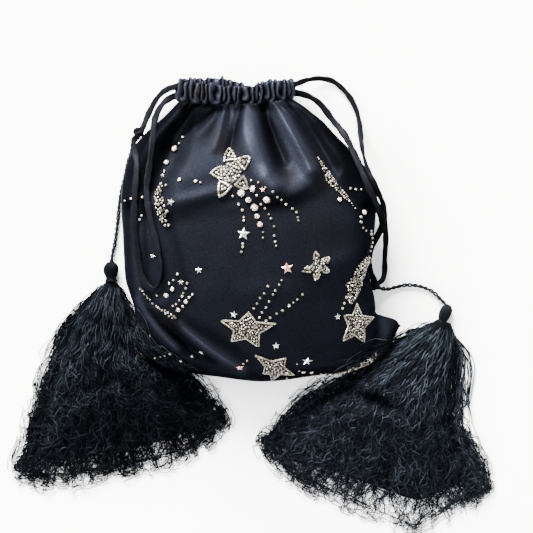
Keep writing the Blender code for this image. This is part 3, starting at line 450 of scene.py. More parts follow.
# Knots: node, middle and the way its cord leaves it
KNOTS = (
    ("knot_left", (-0.0826, 0.0768, 0.0130), (0.2, 1.0, 0.0)),
    ("knot_right", (0.0952, -0.0384, 0.0085), (0.9, 0.3, 0.0)),
)

# The turns of a knot: radius, how much it widens, how far it rises, radius of the string
KNOT_FORM = (0.00215, 0.0007, 0.0015, 0.0017)

# Tassels: the skirt's left and right edge from the head, in photo pixels, and its height in metres
LEFT_SKIRT = np.array((
    (106.5, 279, 113.5, 279, 0.0078),
    (97, 290, 119, 289, 0.0105),
    (85, 304, 125, 303, 0.0150),
    (74, 320, 131, 321, 0.0190),
    (65, 340, 137, 338, 0.0215),
    (56, 361, 146, 353, 0.0235),
    (49, 382, 163, 367, 0.0240),
    (43, 404, 182, 381, 0.0230),
    (38, 427, 197, 395, 0.0200),
    (35, 447, 206, 410, 0.0140),
))
RIGHT_SKIRT = np.array((
    (438, 319, 453, 324, 0.0078),
    (424, 328, 457, 337, 0.0110),
    (406, 340, 460, 350, 0.0160),
    (387, 351, 459.5, 368, 0.0200),
    (367, 364, 457.5, 388, 0.0230),
    (347, 380, 456, 407, 0.0250),
    (327, 394, 456, 426, 0.0250),
    (308, 408, 461, 441, 0.0220),
    (291, 424, 467, 454, 0.0180),
    (279, 441, 474, 468, 0.0130),
))
# How far the mass of threads hangs past the skirt's last row, from left to right, in pixels
LEFT_TIPS = (22, 34, 36, 35, 35, 36, 34, 26, 12)
RIGHT_TIPS = (6, 24, 38, 44, 50, 58, 66, 40, 18)
# Creases of a skirt: start and end in photo pixels, half width and depth in metres
LEFT_CREASES = (
    ((88, 330), (128, 352), 0.0040, 0.0035),
    ((62, 398), (120, 380), 0.0050, 0.0030),
    ((110, 372), (118, 440), 0.0045, 0.0040),
    ((140, 384), (196, 416), 0.0050, 0.0030),
)
RIGHT_CREASES = (
    ((352, 392), (402, 412), 0.0050, 0.0130),
    ((300, 425), (372, 442), 0.0050, 0.0035),
    ((428, 350), (446, 430), 0.0045, 0.0040),
    ((390, 430), (392, 505), 0.0050, 0.0035),
)
# Head of each tassel: middle in photo pixels, length and width in metres, angle of its axis
LEFT_HEAD = (110.0, 270.0, 0.0120, 0.0106, -90.0)
RIGHT_HEAD = (446.5, 313.5, 0.0136, 0.0084, -112.0)
# Tassels: side, first draw, skirt, tips, creases, head and how pale its threads are painted:
# painted shade on the left one and painted light on the right one
TASSELS = (
    ("left", 71, LEFT_SKIRT, LEFT_TIPS, LEFT_CREASES, LEFT_HEAD, 0.58),
    ("right", 72, RIGHT_SKIRT, RIGHT_TIPS, RIGHT_CREASES, RIGHT_HEAD, 1.25),
)
# A head is drawn longer than its solid, towards the skirt
HEAD_STRETCH = 1.22
HEAD_SHIFT = 0.11
# The head's form from its top to its neck: share of the length, share of the width
HEAD_PROFILE = np.array((
    (0.00, 0.16), (0.06, 0.30), (0.20, 0.46), (0.42, 0.50),
    (0.64, 0.44), (0.76, 0.34), (0.84, 0.31), (1.00, 0.42),
))
HEAD_STRANDS = 96
HEAD_STRAND_RADIUS = 0.00040
BINDING_TURNS = 6
BINDING_RADIUS = 0.00035
# Where the binding starts and how far it runs along the head, and its reach across
BINDING_SPAN = (0.30, 0.13)
BINDING_REACH = 0.35
# The mass of a skirt: points down and across it, and the height of its lumps
CORE_GRID = (90, 56)
CORE_LUMPS = 0.0011
# Share of a skirt from its neck to its last row; past it hang the tips
SKIRT_SHARE = 0.84
# Share of the threads that come out near the head, and how far down that is
NEAR_HEAD = 0.16
# How fast a thread runs down its skirt: share of the skirt for each metre
RUN_DOWN = 5.0
# Loose threads: steps, length of a step, first and last place down the skirt where they come out,
# kink, how far they stand up, share that comes out at the sides, least and most reach past the edge
LYING_THREADS = (27, 0.0021, (0.02, 0.88), 0.85, 0.0026, 0.20, (0.0012, 0.0140))
FRINGE_THREADS = (31, 0.0020, (0.46, 0.99), 1.10, 0.0036, 0.34, (0.0012, 0.0140))
STRAY_THREADS = (31, 0.0030, (0.60, 0.97), 0.75, 0.0040, 0.50, (0.0110, 0.0150))
# Crinkles of a thread: strength, least and most length in metres
CRINKLES = ((0.62, 0.030, 0.060), (0.78, 0.014, 0.026), (0.42, 0.0085, 0.012))
# Share of the threads that catch the light, and the sides of a thread
LIGHT_THREADS = 0.38
THREAD_SIDES = 3


def read_table(table, column, at):
    """The table's column at places between its rows, on a smooth curve through them."""
    x, y = table[:, 0], table[:, column]
    slope = np.empty(len(x))
    slope[1:-1] = (y[2:] - y[:-2]) / (x[2:] - x[:-2])
    slope[0] = (y[1] - y[0]) / (x[1] - x[0])
    slope[-1] = (y[-1] - y[-2]) / (x[-1] - x[-2])
    at = np.clip(at, x[0], x[-1])
    k = np.clip(np.searchsorted(x, at, side="right") - 1, 0, len(x) - 2)
    step = x[k + 1] - x[k]
    t = (at - x[k]) / step
    level = y[k] * (1 + 2 * t) * (1 - t) ** 2 + y[k + 1] * t * t * (3 - 2 * t)
    return level + step * (slope[k] * t * (1 - t) ** 2 - slope[k + 1] * t * t * (1 - t))


def across(photo_x):
    """Where a column of the photo lies on the pouch, in metres from its middle line."""
    return (photo_x - PHOTO_MIDDLE) / PHOTO_HALF_WIDTH * POUCH_WIDTH / 2


def along(photo_y):
    """Where a row of the photo lies on the pouch, in metres from the origin."""
    return ((PHOTO_FOOT - photo_y) / PHOTO_RISE - FOOT_SHARE) * BODY_HEIGHT


def from_photo(points):
    points = np.asarray(points, float)
    return np.stack([across(points[..., 0]), along(points[..., 1])], axis=-1)


def on_photo(x, y):
    """Where a point of the pouch lies on the photo, in pixels."""
    photo_x = PHOTO_MIDDLE + x / (POUCH_WIDTH / 2) * PHOTO_HALF_WIDTH
    return photo_x, PHOTO_FOOT - (y / BODY_HEIGHT + FOOT_SHARE) * PHOTO_RISE


def strokes(rows, photo_x, photo_y):
    """The sum of the strokes of a table, each strongest on its own curved line."""
    total = np.zeros_like(photo_x)
    for name, start, middle, end, left, right, height in rows:
        t = np.linspace(0, 1, FOLD_PARTS + 1)[:, None]
        start, middle, end = np.array(start), np.array(middle), np.array(end)
        way = (1 - t) ** 2 * start + 2 * t * (1 - t) * middle + t * t * end
        nearest = np.full(photo_x.shape, 1e9)
        where = np.zeros(photo_x.shape)
        side = np.zeros(photo_x.shape)
        for k in range(FOLD_PARTS):
            (ax, ay), (bx, by) = way[k], way[k + 1]
            dx, dy = bx - ax, by - ay
            share = np.clip(((photo_x - ax) * dx + (photo_y - ay) * dy) / (dx * dx + dy * dy), 0, 1)
            gap = np.hypot(photo_x - ax - share * dx, photo_y - ay - share * dy)
            turn = (photo_x - ax) * dy - (photo_y - ay) * dx
            closer = gap < nearest
            nearest = np.where(closer, gap, nearest)
            where = np.where(closer, (k + share) / FOLD_PARTS, where)
            side = np.where(closer, turn, side)
        reach = max(left, right)
        lean = np.clip(side / (reach * np.hypot(dx, dy) * 0.6), -1, 1)
        width = left + (right - left) * (0.5 - 0.5 * lean)
        fade = FOLD_ENDS + (1 - FOLD_ENDS) * np.sin(np.pi * where)
        total += height * fade * np.exp(-((nearest / width) ** FLAT_TOPS.get(name, 2.0)))
    return total


def gather_height(share, rise):
    """How far the gathers under the casing lift the cloth: uneven, and shorter in some places."""
    phase = GATHERS * (share + 1) / 2 + 0.42 * np.sin(7.3 * share + 0.6)
    phase = phase + 0.25 * np.sin(17.0 * share)
    start = GATHER_START + 0.04 * np.sin(5.1 * share + 1.0) + 0.03 * np.sin(13.0 * share)
    fade = np.clip((rise - start) / (1 - start), 0, 1) ** 1.7
    ridge = np.abs(np.cos(np.pi * phase)) ** 0.9 - 0.6
    return GATHER_HEIGHT * fade * ridge


def cloth_waves(x, y, seed, shortest, longest, count):
    """A soft uneven swell of height about 1, from waves that run many ways."""
    draw = np.random.default_rng(seed)
    total = np.zeros_like(x)
    for _wave in range(count):
        length = draw.uniform(shortest, longest)
        turn = draw.uniform(0, 2 * math.pi)
        start = draw.uniform(0, 2 * math.pi)
        total += np.sin(2 * math.pi * (x * math.cos(turn) + y * math.sin(turn)) / length + start)
    return total / math.sqrt(count)


def ring_places(front_columns, back_columns):
    """Round one section: share across, the front's rise from the edge, and the back's."""
    turn = np.pi * np.arange(front_columns) / (front_columns - 1)
    front_share = -np.sign(np.cos(turn)) * np.abs(np.cos(turn)) ** (2 / ROUND_FRONT)
    front = np.abs(np.sin(turn)) ** (2 / ROUND_FRONT)
    front[0] = front[-1] = 0.0
    turn = np.pi * np.arange(1, back_columns + 1) / (back_columns + 1)
    back_share = np.sign(np.cos(turn)) * np.abs(np.cos(turn)) ** (2 / ROUND_BACK)
    back = np.minimum(1.0, BACK_PRESS * np.sin(turn) ** (2 / ROUND_BACK))
    share = np.concatenate([front_share, back_share])
    none = np.zeros_like(back)
    return share, np.concatenate([front, none]), np.concatenate([np.zeros_like(front), back])


def bag_surface(share, front, back, rise):
    """The body's outer form without folds: places on the photo, and heights in metres."""
    edge = read_table(ROWS, EDGE, rise)
    height = edge + front * (read_table(ROWS, CROWN, rise) - edge)
    height = np.maximum(height + back * (read_table(ROWS, BACK, rise) - edge), 0.0)
    left, right = read_table(ROWS, LEFT, rise), read_table(ROWS, RIGHT, rise)
    photo_x = (left + right) / 2 + share * (right - left) / 2
    bottom, neck = read_table(BOTTOM_SEAM, 1, share), read_table(NECK_SEAM, 1, share)
    return photo_x, bottom + (neck - bottom) * rise, height * POUCH_DEPTH


def bag_form(share, front, back, rise):
    """Points of the body's outer form, lifted by its folds, its gathers and a soft ripple."""
    photo_x, photo_y, height = bag_surface(share, front, back, rise)
    lift = strokes(FOLDS, photo_x, photo_y) * POUCH_DEPTH + gather_height(share, rise)
    lift *= np.minimum(1.0, front * RELIEF_REACH)
    x, y = across(photo_x), along(photo_y)
    ripple = cloth_waves(x, y, 11, 0.018, 0.060, 18)
    calm = 0.35 + 0.65 * np.clip((np.abs(share) - 0.35) / 0.5, 0, 1)
    lift += 0.00045 * ripple * calm * np.minimum(1.0, front * 3)
    return np.stack([x, y, height + lift], axis=-1)


def bag_grid():
    """The outer face of the body's cloth, as rows of points from the bottom seam to the neck."""
    share, front, back = ring_places(BAG_FRONT_COLUMNS, BAG_BACK_COLUMNS)
    shape = (len(BAG_RISES), len(share))
    rise = np.broadcast_to(BAG_RISES[:, None], shape)
    parts = [np.broadcast_to(part, shape) for part in (share, front, back)]
    return bag_form(*parts, rise)


def ring_faces(rows, count):
    """Quads between closed rings of equal length."""
    i, k = np.meshgrid(np.arange(rows - 1), np.arange(count), indexing="ij")
    after = (k + 1) % count
    low, high = i * count, (i + 1) * count
    return np.stack([low + k, low + after, high + after, high + k], -1).reshape(-1, 4)


def bottom_faces(points):
    """Triangles that close the bottom seam, joining its front edge to its back edge."""
    count = len(points)
    front = list(range(BAG_FRONT_COLUMNS))
    back = [0] + list(range(count - 1, BAG_FRONT_COLUMNS - 1, -1)) + [BAG_FRONT_COLUMNS - 1]
    faces, i, j = [], 0, 0
    while i < len(front) - 1 or j < len(back) - 1:
        step_front = j == len(back) - 1 or (
            i < len(front) - 1 and points[front[i + 1]][0] <= points[back[j + 1]][0]
        )
        corners = [back[j], front[i]]
        if step_front:
            corners.append(front[i + 1])
            i += 1
        else:
            corners.append(back[j + 1])
            j += 1
        if len(set(corners)) == 3:
            faces.append(corners)
    return faces


kept = {}


def cloth_tree():
    """The body's cloth as a tree for finding what lies under a point. Made once."""
    if "cloth" not in kept:
        grid = bag_grid()
        points = [Vector(p) for p in grid.reshape(-1, 3)]
        faces = ring_faces(*grid.shape[:2]).tolist()
        kept["cloth"] = BVHTree.FromPolygons(points, faces)
    return kept["cloth"]


def drop(x, y):
    """Where a point above the pouch meets its front, and the way out of the cloth there."""
    for step in range(24):
        pulled = 1 - 0.005 * step
        above = Vector((x * pulled, y * pulled, 3 * POUCH_DEPTH))
        place, normal, _face, _way = cloth_tree().ray_cast(above, Vector((0, 0, -1)))
        if place is not None:
            return place, normal if normal.z > 0 else -normal
    raise ValueError(f"nothing lies under x {x:.4f}, y {y:.4f}")


def cloth_height(x, y):
    place, _normal, _face, _way = cloth_tree().ray_cast(
        Vector((x, y, 3 * POUCH_DEPTH)), Vector((0, 0, -1)))
    return 0.0 if place is None else place.z


def way_out(x, y, reach=0.0016):
    """The way out of the cloth at a place, evened out over its surroundings."""
    total = Vector()
    for dx, dy in ((0, 0), (reach, 0), (-reach, 0), (0, reach), (0, -reach)):
        total += drop(x + dx, y + dy)[1]
    return total.normalized()


def path_ways(points):
    """How far along its path each point lies."""
    return np.concatenate([[0], np.cumsum(np.linalg.norm(np.diff(points, axis=0), axis=1))])


def path_sides(path, ups=(0.0, 0.0, 1.0)):
    """The way to the side and the way up at each point of a path, or of many paths."""
    way = np.gradient(path, axis=-2)
    way /= np.linalg.norm(way, axis=-1, keepdims=True) + 1e-12
    side = np.cross(way, ups)
    side /= np.linalg.norm(side, axis=-1, keepdims=True) + 1e-9
    return side, np.cross(side, way)


def nearest_place(points, a, b):
    """The place nearest to each point on the straight line from a to b."""
    way = b - a
    share = np.clip(((points - a) @ way) / max(way @ way, 1e-12), 0, 1)
    return a + share[..., None] * way, share


def clear_selection():
    bpy.ops.object.select_all(action="DESELECT")


def choose(made):
    clear_selection()
    made.select_set(True)
    bpy.context.view_layer.objects.active = made


def edit_all():
    """Opens the active mesh in edit mode, with all of it selected."""
    bpy.ops.object.mode_set(mode="EDIT")
    bpy.ops.mesh.select_all(action="SELECT")


def face_outwards(made):
    choose(made)
    edit_all()
    bpy.ops.mesh.normals_make_consistent(inside=False)
    bpy.ops.object.mode_set(mode="OBJECT")


def finish_piece(made, materials, nodes=(), smooth=True):
    """Gives a piece its material and its body, and hides the CAD nodes that it stands for."""
    for material in materials:
        made.data.materials.append(material)
    if smooth:
        made.data.shade_smooth()
    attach(made, "root")
    if nodes:
        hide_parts(*nodes)
    return made


def new_piece(name, points, faces):
    data = bpy.data.meshes.new(name)
    data.from_pydata(np.asarray(points, float).reshape(-1, 3).tolist(), [], faces)
    data.update()
    made = bpy.data.objects.new(name, data)
    bpy.context.scene.collection.objects.link(made)
    return made


def join_shapes(shapes):
    """One shape of many: each is its corners and its faces."""
    points, faces, count = [], [], 0
    for corners, polygons in shapes:
        points.append(corners)
        faces += [tuple(corner + count for corner in polygon) for polygon in polygons]
        count += len(corners)
    return np.vstack(points), faces


def thicken(made, thickness):
    """Gives a piece of cloth its wall, inwards."""
    choose(made)
    wall = made.modifiers.new("wall", "SOLIDIFY")
    wall.thickness = thickness
    wall.offset = -1.0
    bpy.ops.object.modifier_apply(modifier=wall.name)


def keep_values(made, name, values, domain="POINT"):
    """Keeps a value for each point or face of a piece, for its material."""
    layer = made.data.attributes.new(name, "FLOAT", domain)
    layer.data.foreach_set("value", np.asarray(values, float).ravel())


def give_uv(made, uv):
    """A UV map, in tenths of a metre, from one place for each point of the mesh."""
    layer = made.data.uv_layers.new(name="cloth")
    corners = np.empty(len(made.data.loops), int)
    made.data.loops.foreach_get("vertex_index", corners)
    layer.data.foreach_set("uv", np.asarray(uv)[corners].ravel())


def tubes(paths, radii, sides, wide=1.0, flat=1.0, ups=(0.0, 0.0, 1.0)):
    """Tubes along many paths of as many points: corners and faces, with closed ends.

    wide and flat stretch the section sideways and upwards, and ups turns it.
    """
    paths = np.asarray(paths, float)
    many, length = paths.shape[:2]
    side, up = path_sides(paths, ups)
    turn = 2 * np.pi * np.arange(sides) / sides
    radii = np.broadcast_to(np.asarray(radii, float), (many, length))
    ring = (side[:, :, None] * (np.cos(turn) * wide)[None, None, :, None]
            + up[:, :, None] * (np.sin(turn) * flat)[None, None, :, None])
    points = paths[:, :, None] + ring * radii[:, :, None, None]
    i, j, k = np.meshgrid(np.arange(many), np.arange(length - 1), np.arange(sides), indexing="ij")
    base = (i * length + j) * sides
    after = (k + 1) % sides
    faces = np.stack([base + k, base + after, base + sides + after, base + sides + k], -1)
    start = np.arange(many)[:, None] * length * sides
    first = start + np.arange(sides)[::-1]
    last = start + (length - 1) * sides + np.arange(sides)
    faces = faces.reshape(-1, 4)[:, ::-1].tolist() + first.tolist() + last.tolist()
    return points.reshape(-1, 3), faces


def smooth_route(route, spacing):
    """A smooth curve through the route's points, read at even steps."""
    p = np.asarray(route, float)
    before, after = np.vstack([p[:1], p[:-1]]), np.vstack([p[1:], p[-1:]])
    fine = []
    for k in range(len(p) - 1):
        p0, p1, p2, p3 = before[k], p[k], p[k + 1], after[k + 1]
        t = np.linspace(0, 1, 17)[:-1, None]
        fine.append(0.5 * (2 * p1 + (p2 - p0) * t + (2 * p0 - 5 * p1 + 4 * p2 - p3) * t * t
                           + (3 * p1 - p0 - 3 * p2 + p3) * t ** 3))
    fine = np.vstack(fine + [p[-1:]])
    ways = path_ways(fine)
    even = np.linspace(0, ways[-1], max(8, round(ways[-1] / spacing)) + 1)
    return np.stack([np.interp(even, ways, fine[:, axis]) for axis in range(3)], axis=1)


def set_sockets(node, values):
    """Sets a node's sockets by name, where _ stands for a space."""
    for key, value in values.items():
        node.inputs[key.replace("_", " ")].default_value = value


def new_material(name, colour, roughness, metallic=0.0, **others):
    """A material with its Principled shader set, ready for a pattern."""
    made = bpy.data.materials.new(name)
    made.use_nodes = True
    shader = made.node_tree.nodes["Principled BSDF"]
    set_sockets(shader, {"Base_Color": (*colour, 1.0), "Roughness": roughness,
                         "Metallic": metallic, **others})
    return made, shader


def add_node(material, kind, **values):
    node = material.node_tree.nodes.new(kind)
    set_sockets(node, values)
    return node


def link(material, start, end):
    material.node_tree.links.new(start, end)


def kept_value(material, name):
    """A value that the piece keeps on its points or faces."""
    node = add_node(material, "ShaderNodeAttribute")
    node.attribute_name = name
    return node.outputs["Fac"]


def combine(material, kind, operation, first, second):
    """Two values in one. The second is a socket or a number."""
    node = add_node(material, kind)
    node.operation = operation
    link(material, first, node.inputs[0])
    end = node.inputs["Scale"] if operation == "SCALE" else node.inputs[1]
    if isinstance(second, float):
        end.default_value = second
    else:
        link(material, second, end)
    return node.outputs[0]


def noise_node(material, scale, detail, stretch=(1, 1, 1), source="Object"):
    """An uneven value from 0 to 1, which follows the piece or its UV map, stretched."""
    place = add_node(material, "ShaderNodeTexCoord")
    mapping = add_node(material, "ShaderNodeMapping", Scale=stretch)
    link(material, place.outputs[source], mapping.inputs["Vector"])
    noise = add_node(material, "ShaderNodeTexNoise", Scale=scale, Detail=detail, Roughness=0.5)
    link(material, mapping.outputs["Vector"], noise.inputs["Vector"])
    return noise.outputs["Fac"]


def ramp_node(material, factor, stops):
    """A colour for each value: stops are (place, colour)."""
    ramp = add_node(material, "ShaderNodeValToRGB")
    bar = ramp.color_ramp.elements
    while len(bar) < len(stops):
        bar.new(0.5)
    for element, (place, colour) in zip(bar, stops):
        element.position = place
        element.color = (*colour, 1.0)
    link(material, factor, ramp.inputs["Fac"])
    return ramp.outputs["Color"]


def range_node(material, value, low, high):
    """Turns 0 to 1 into low to high."""
    node = add_node(material, "ShaderNodeMapRange", To_Min=low, To_Max=high)
    link(material, value, node.inputs["Value"])
    return node.outputs["Result"]


def bump_node(material, shader, height, strength, distance):
    bump = add_node(material, "ShaderNodeBump", Strength=strength, Distance=distance)
    link(material, height, bump.inputs["Height"])
    link(material, bump.outputs["Normal"], shader.inputs["Normal"])


def satin_material(name, colours, roughness):
    """Satin: dark glossy floats, a fine grain, an uneven dye, and painted shade and painted
    highlights.
    """
    made, shader = new_material(name, colours[0], roughness, 0.38, Specular_IOR_Level=0.0,
                                Specular_Tint=(0.38, 0.39, 0.42, 1.0))
    dye = noise_node(made, 26.0, 3.0)
    dyed = ramp_node(made, dye, ((0.30, colours[0]), (0.55, colours[1]), (0.78, colours[2])))
    grain = noise_node(made, 900.0, 2.0)
    # The dye is scaled by the painted light kept on the points: painted shade below 0, painted
    # highlights above 0
    painted_light = combine(made, "ShaderNodeMath", "ADD", kept_value(made, "painted_light"), 1.0)
    tone = combine(made, "ShaderNodeMath", "MULTIPLY", painted_light, range_node(made, grain, 0.35, 1.65))
    colour = combine(made, "ShaderNodeVectorMath", "SCALE", dyed, tone)
    link(made, colour, shader.inputs["Base Color"])
    floats = noise_node(made, 1.0, 1.0, (120, 55, 1), "UV")
    slubs = noise_node(made, 1.0, 2.0, (40, 160, 1), "UV")
    matt = range_node(made, slubs, roughness - 0.12, roughness + 0.12)
    link(made, matt, shader.inputs["Roughness"])
    bump_node(made, shader, floats, 0.30, 0.0003)
    return made


def thread_material(name, colour):
    """Fine rayon thread: a little glossy, with darker and lighter lengths."""
    made, shader = new_material(name, colour, 0.48, 0.5, Specular_IOR_Level=0.0,
                                Specular_Tint=(0.5, 0.52, 0.56, 1.0))
    shade = noise_node(made, 160.0, 2.0)
    light = tuple(part * 3.4 for part in colour)
    dark = tuple(part * 0.30 for part in colour)
    tones = ((0.0, colour), (0.2, dark), (0.6, colour), (1.0, light))
    link(made, ramp_node(made, kept_value(made, "tint"), tones), shader.inputs["Base Color"])
    link(made, range_node(made, shade, 0.40, 0.60), shader.inputs["Roughness"])
    fibre = noise_node(made, 1.0, 1.0, (3000, 3000, 3000))
    bump_node(made, shader, fibre, 0.15, 0.0001)
    return made


def bead_material(name):
    """Silver-lined glass beads: each bead has its own tint, kept on its points."""
    made, shader = new_material(name, (0.3, 0.28, 0.24), 0.16, 0.6,
                                Coat_Weight=0.5, Coat_Roughness=0.05)
    link(made, ramp_node(made, kept_value(made, "tint"), (
        (0.00, (0.010, 0.008, 0.006)),
        (0.30, (0.050, 0.041, 0.031)),
        (0.62, (0.130, 0.112, 0.083)),
        (0.86, (0.280, 0.258, 0.215)),
        (1.00, (0.200, 0.115, 0.082)),
    )), shader.inputs["Base Color"])
    cloudy = noise_node(made, 900.0, 2.0)
    link(made, range_node(made, cloudy, 0.06, 0.32), shader.inputs["Roughness"])
    bump_node(made, shader, cloudy, 0.12, 0.0001)
    return made


def crystal_material(name):
    """Foiled crystal: each facet is painted its own brightness, from dark to clear pink, as painted
    reflections and glints.
    """
    made, shader = new_material(name, (0.4, 0.34, 0.33), 0.05, 0.30,
                                Coat_Weight=1.0, Coat_Roughness=0.03)
    link(made, ramp_node(made, kept_value(made, "tint"), (
        (0.00, (0.006, 0.005, 0.005)),
        (0.35, (0.045, 0.022, 0.015)),
        (0.65, (0.330, 0.170, 0.120)),
        (1.00, (0.950, 0.740, 0.640)),
    )), shader.inputs["Base Color"])
    flaws = noise_node(made, 1500.0, 1.0)
    link(made, range_node(made, flaws, 0.03, 0.12), shader.inputs["Roughness"])
    return made


def metal_material(name, colour, roughness):
    """Stamped metal with fine rubbed marks."""
    made, shader = new_material(name, colour, roughness, 1.0)
    marks = noise_node(made, 700.0, 3.0, (1, 6, 1))
    matt = range_node(made, marks, roughness - 0.06, roughness + 0.14)
    link(made, matt, shader.inputs["Roughness"])
    worn = tuple(part * 0.72 for part in colour)
    link(made, ramp_node(made, marks, ((0.30, worn), (0.60, colour))), shader.inputs["Base Color"])
    bump_node(made, shader, marks, 0.08, 0.0001)
    return made


def template(make):
    """A small shape modelled once: its corners and faces, and the object is taken away again."""
    clear_selection()
    make()
    made = bpy.context.object
    bpy.ops.object.mode_set(mode="OBJECT")
    points = np.array([v.co[:] for v in made.data.vertices])
    # Edit mode leaves the faces in another order each time, so they are put in one order
    faces = []
    for polygon in made.data.polygons:
        corners = tuple(polygon.vertices)
        first = corners.index(min(corners))
        faces.append(corners[first:] + corners[:first])
    bpy.data.objects.remove(made, do_unlink=True)
    return points, sorted(faces)


def seed_bead():
    """A small bead of diameter 1, a little flattened."""
    bpy.ops.mesh.primitive_uv_sphere_add(segments=7, ring_count=5, radius=0.5)
    edit_all()
    bpy.ops.transform.resize(value=(1.0, 1.0, 0.78))


def bugle_bead():
    """A short tube of glass of length 1 that lies along X."""
    bpy.ops.mesh.primitive_cylinder_add(vertices=6, radius=0.5, depth=1.0, end_fill_type="NGON",
                                        rotation=(0.0, math.pi / 2, 0.0))
    bpy.ops.object.transform_apply(location=False, rotation=True, scale=False)
    edit_all()
    bpy.ops.mesh.bevel(offset=0.12, segments=1)


def stone_top():
    """A cut stone of radius 1 on its girdle at height 0: three tiers, each turned half a facet."""
    bpy.ops.mesh.primitive_circle_add(vertices=8, radius=1.0, fill_type="NGON")
    edit_all()
    for rise, size in ((0.28, 0.76), (0.20, 0.66)):
        bpy.ops.mesh.extrude_region_move(TRANSFORM_OT_translate={"value": (0, 0, rise)})
        bpy.ops.transform.resize(value=(size, size, 1.0))
        bpy.ops.transform.rotate(value=math.pi / 8, orient_axis="Z", center_override=(0, 0, 0))
    bpy.ops.mesh.poke(offset=0.06)
    bpy.ops.mesh.select_all(action="SELECT")
    bpy.ops.mesh.quads_convert_to_tris()


def stone_cup():
    """A cup of radius 1.1 round the stone: a foot, a flared wall and a turned-in rim."""
    bpy.ops.mesh.primitive_circle_add(vertices=14, radius=0.80, fill_type="NGON",
                                      location=(0, 0, -0.42))
    bpy.ops.object.transform_apply(location=True)
    edit_all()
    for rise, size in ((0.26, 1.32), (0.20, 1.05), (0.05, 0.93), (-0.05, 0.90)):
        bpy.ops.mesh.extrude_region_move(TRANSFORM_OT_translate={"value": (0, 0, rise)})
        bpy.ops.transform.resize(value=(size, size, 1.0))


def cup_prong():
    """A prong that grips the stone's edge."""
    bpy.ops.mesh.primitive_uv_sphere_add(segments=6, ring_count=4, radius=0.17)
    edit_all()
    bpy.ops.transform.resize(value=(1.3, 0.9, 1.1))
    bpy.ops.transform.translate(value=(0.93, 0.0, 0.10))


def metal_star():
    """A flat star of radius 1 with a bevelled edge, five ridges and a small dent in the middle."""
    bpy.ops.mesh.primitive_circle_add(vertices=2 * STAR_TIPS, radius=1.0, fill_type="NGON")
    made = bpy.context.object
    for k, vertex in enumerate(made.data.vertices):
        turn = math.pi * k / STAR_TIPS
        size = 1.0 if k % 2 == 0 else 0.42
        vertex.co = (size * math.cos(turn), size * math.sin(turn), 0.0)
    edit_all()
    bpy.ops.mesh.extrude_region_move(TRANSFORM_OT_translate={"value": (0, 0, 0.12)})
    bpy.ops.mesh.inset(thickness=0.06, depth=0.05)
    bpy.ops.mesh.inset(thickness=0.10, depth=0.05)
    bpy.ops.mesh.poke(offset=0.07)
    bpy.ops.mesh.select_all(action="SELECT")
    bpy.ops.mesh.normals_make_consistent(inside=False)


def stamp(shape, frames):
    """Copies of a shape, one for each 4 by 4 frame: corners and faces, one after the other."""
    points, faces = shape
    frames = np.asarray(frames, float)
    placed = np.einsum("nij,pj->npi", frames[:, :3, :3], points) + frames[:, None, :3, 3]
    made = []
    for k in range(len(frames)):
        made += [tuple(corner + k * len(points) for corner in face) for face in faces]
    return placed.reshape(-1, 3), made


def frame_on_cloth(x, y, lift, size, turn=0.0, tilt=(0.0, 0.0)):
    """A frame that stands on the cloth: size is the scale along its side, up and out."""
    place, _normal = drop(x, y)
    out = way_out(x, y)
    side = Vector((0, 1, 0)).cross(out).normalized()
    up = out.cross(side)
    turned = Matrix((side, up, out)).transposed()
    turned = turned @ Matrix.Rotation(turn, 3, "Z") @ Matrix.Rotation(tilt[0], 3, "X")
    turned = turned @ Matrix.Rotation(tilt[1], 3, "Y") @ Matrix.Diagonal(size)
    made = np.eye(4)
    made[:3, :3] = np.array(turned)
    made[:3, 3] = place + out * lift
    return made


def give_facets_painted_glints(made, draw):
    """Keeps one painted brightness for each facet of a stone: painted reflections and glints."""
    count = len(made.data.polygons)
    tints = draw.choice((0.0, 0.4, 0.65, 0.85, 1.0), count, p=(0.34, 0.12, 0.14, 0.14, 0.26))
    keep_values(made, "tint", tints, "FACE")


def star_outline(name, form):
    """The corners of a star's outline, in metres, and its middle."""
    if form == "strip":
        corners = from_photo(SEEN_STRIPS[name])
        return corners, corners.mean(axis=0)
    tips = from_photo(SEEN_TIPS[name])
    middle = tips.mean(axis=0)
    notches = middle + ((tips + np.roll(tips, -1, 0)) / 2 - middle) * STAR_NOTCH
    return np.stack([tips, notches], axis=1).reshape(-1, 2), middle


def petal_outlines(name):
    """The outline of each petal of a star, from its middle out to its tip and back."""
    tips = from_photo(SEEN_TIPS[name])
    middle = tips.mean(axis=0)
    half = PETAL_WIDTH[name] * POUCH_WIDTH / 2 / PHOTO_HALF_WIDTH
    t = np.linspace(0, 1, 15)
    width = half * 2.21 * t ** 0.45 * (1 - t) ** 0.75
    petals = []
    for tip in tips:
        axis = tip - middle
        side = np.array([-axis[1], axis[0]]) / np.linalg.norm(axis)
        left = middle + axis * t[:, None] + side * width[:, None]
        right = middle + axis * t[::-1, None] - side * width[::-1, None]
        petals.append(np.vstack([left, right[1:-1]]))
    return petals


def along_outline(corners, count_a_side):
    """The outline as many points, evenly spaced along each of its sides."""
    t = np.arange(count_a_side)[None, :, None] / count_a_side
    return (corners[:, None] * (1 - t) + np.roll(corners, -1, 0)[:, None] * t).reshape(-1, 2)


def distance_inside(points, corners):
    """How far inside an outline each point is. Points outside it get a distance below 0."""
    points = np.asarray(points, float)
    best = np.full(len(points), 1e9)
    inside = np.zeros(len(points), bool)
    for a, b in zip(corners, np.roll(corners, -1, 0)):
        place, _share = nearest_place(points, a, b)
        best = np.minimum(best, np.linalg.norm(points - place, axis=1))
        rise, level = b[1] - a[1], points[:, 1] - a[1]
        crosses = (a[1] > points[:, 1]) != (b[1] > points[:, 1])
        crossing = a[0] + (b[0] - a[0]) * level / (rise if rise else 1e-12)
        inside ^= crosses & (points[:, 0] < crossing)
    return np.where(inside, best, -best)


def mound(inset, lifts):
    """How high a bead stands, for how far inside its star it is."""
    return lifts[0] + lifts[1] * min(1.0, inset / MOUND_REACH)


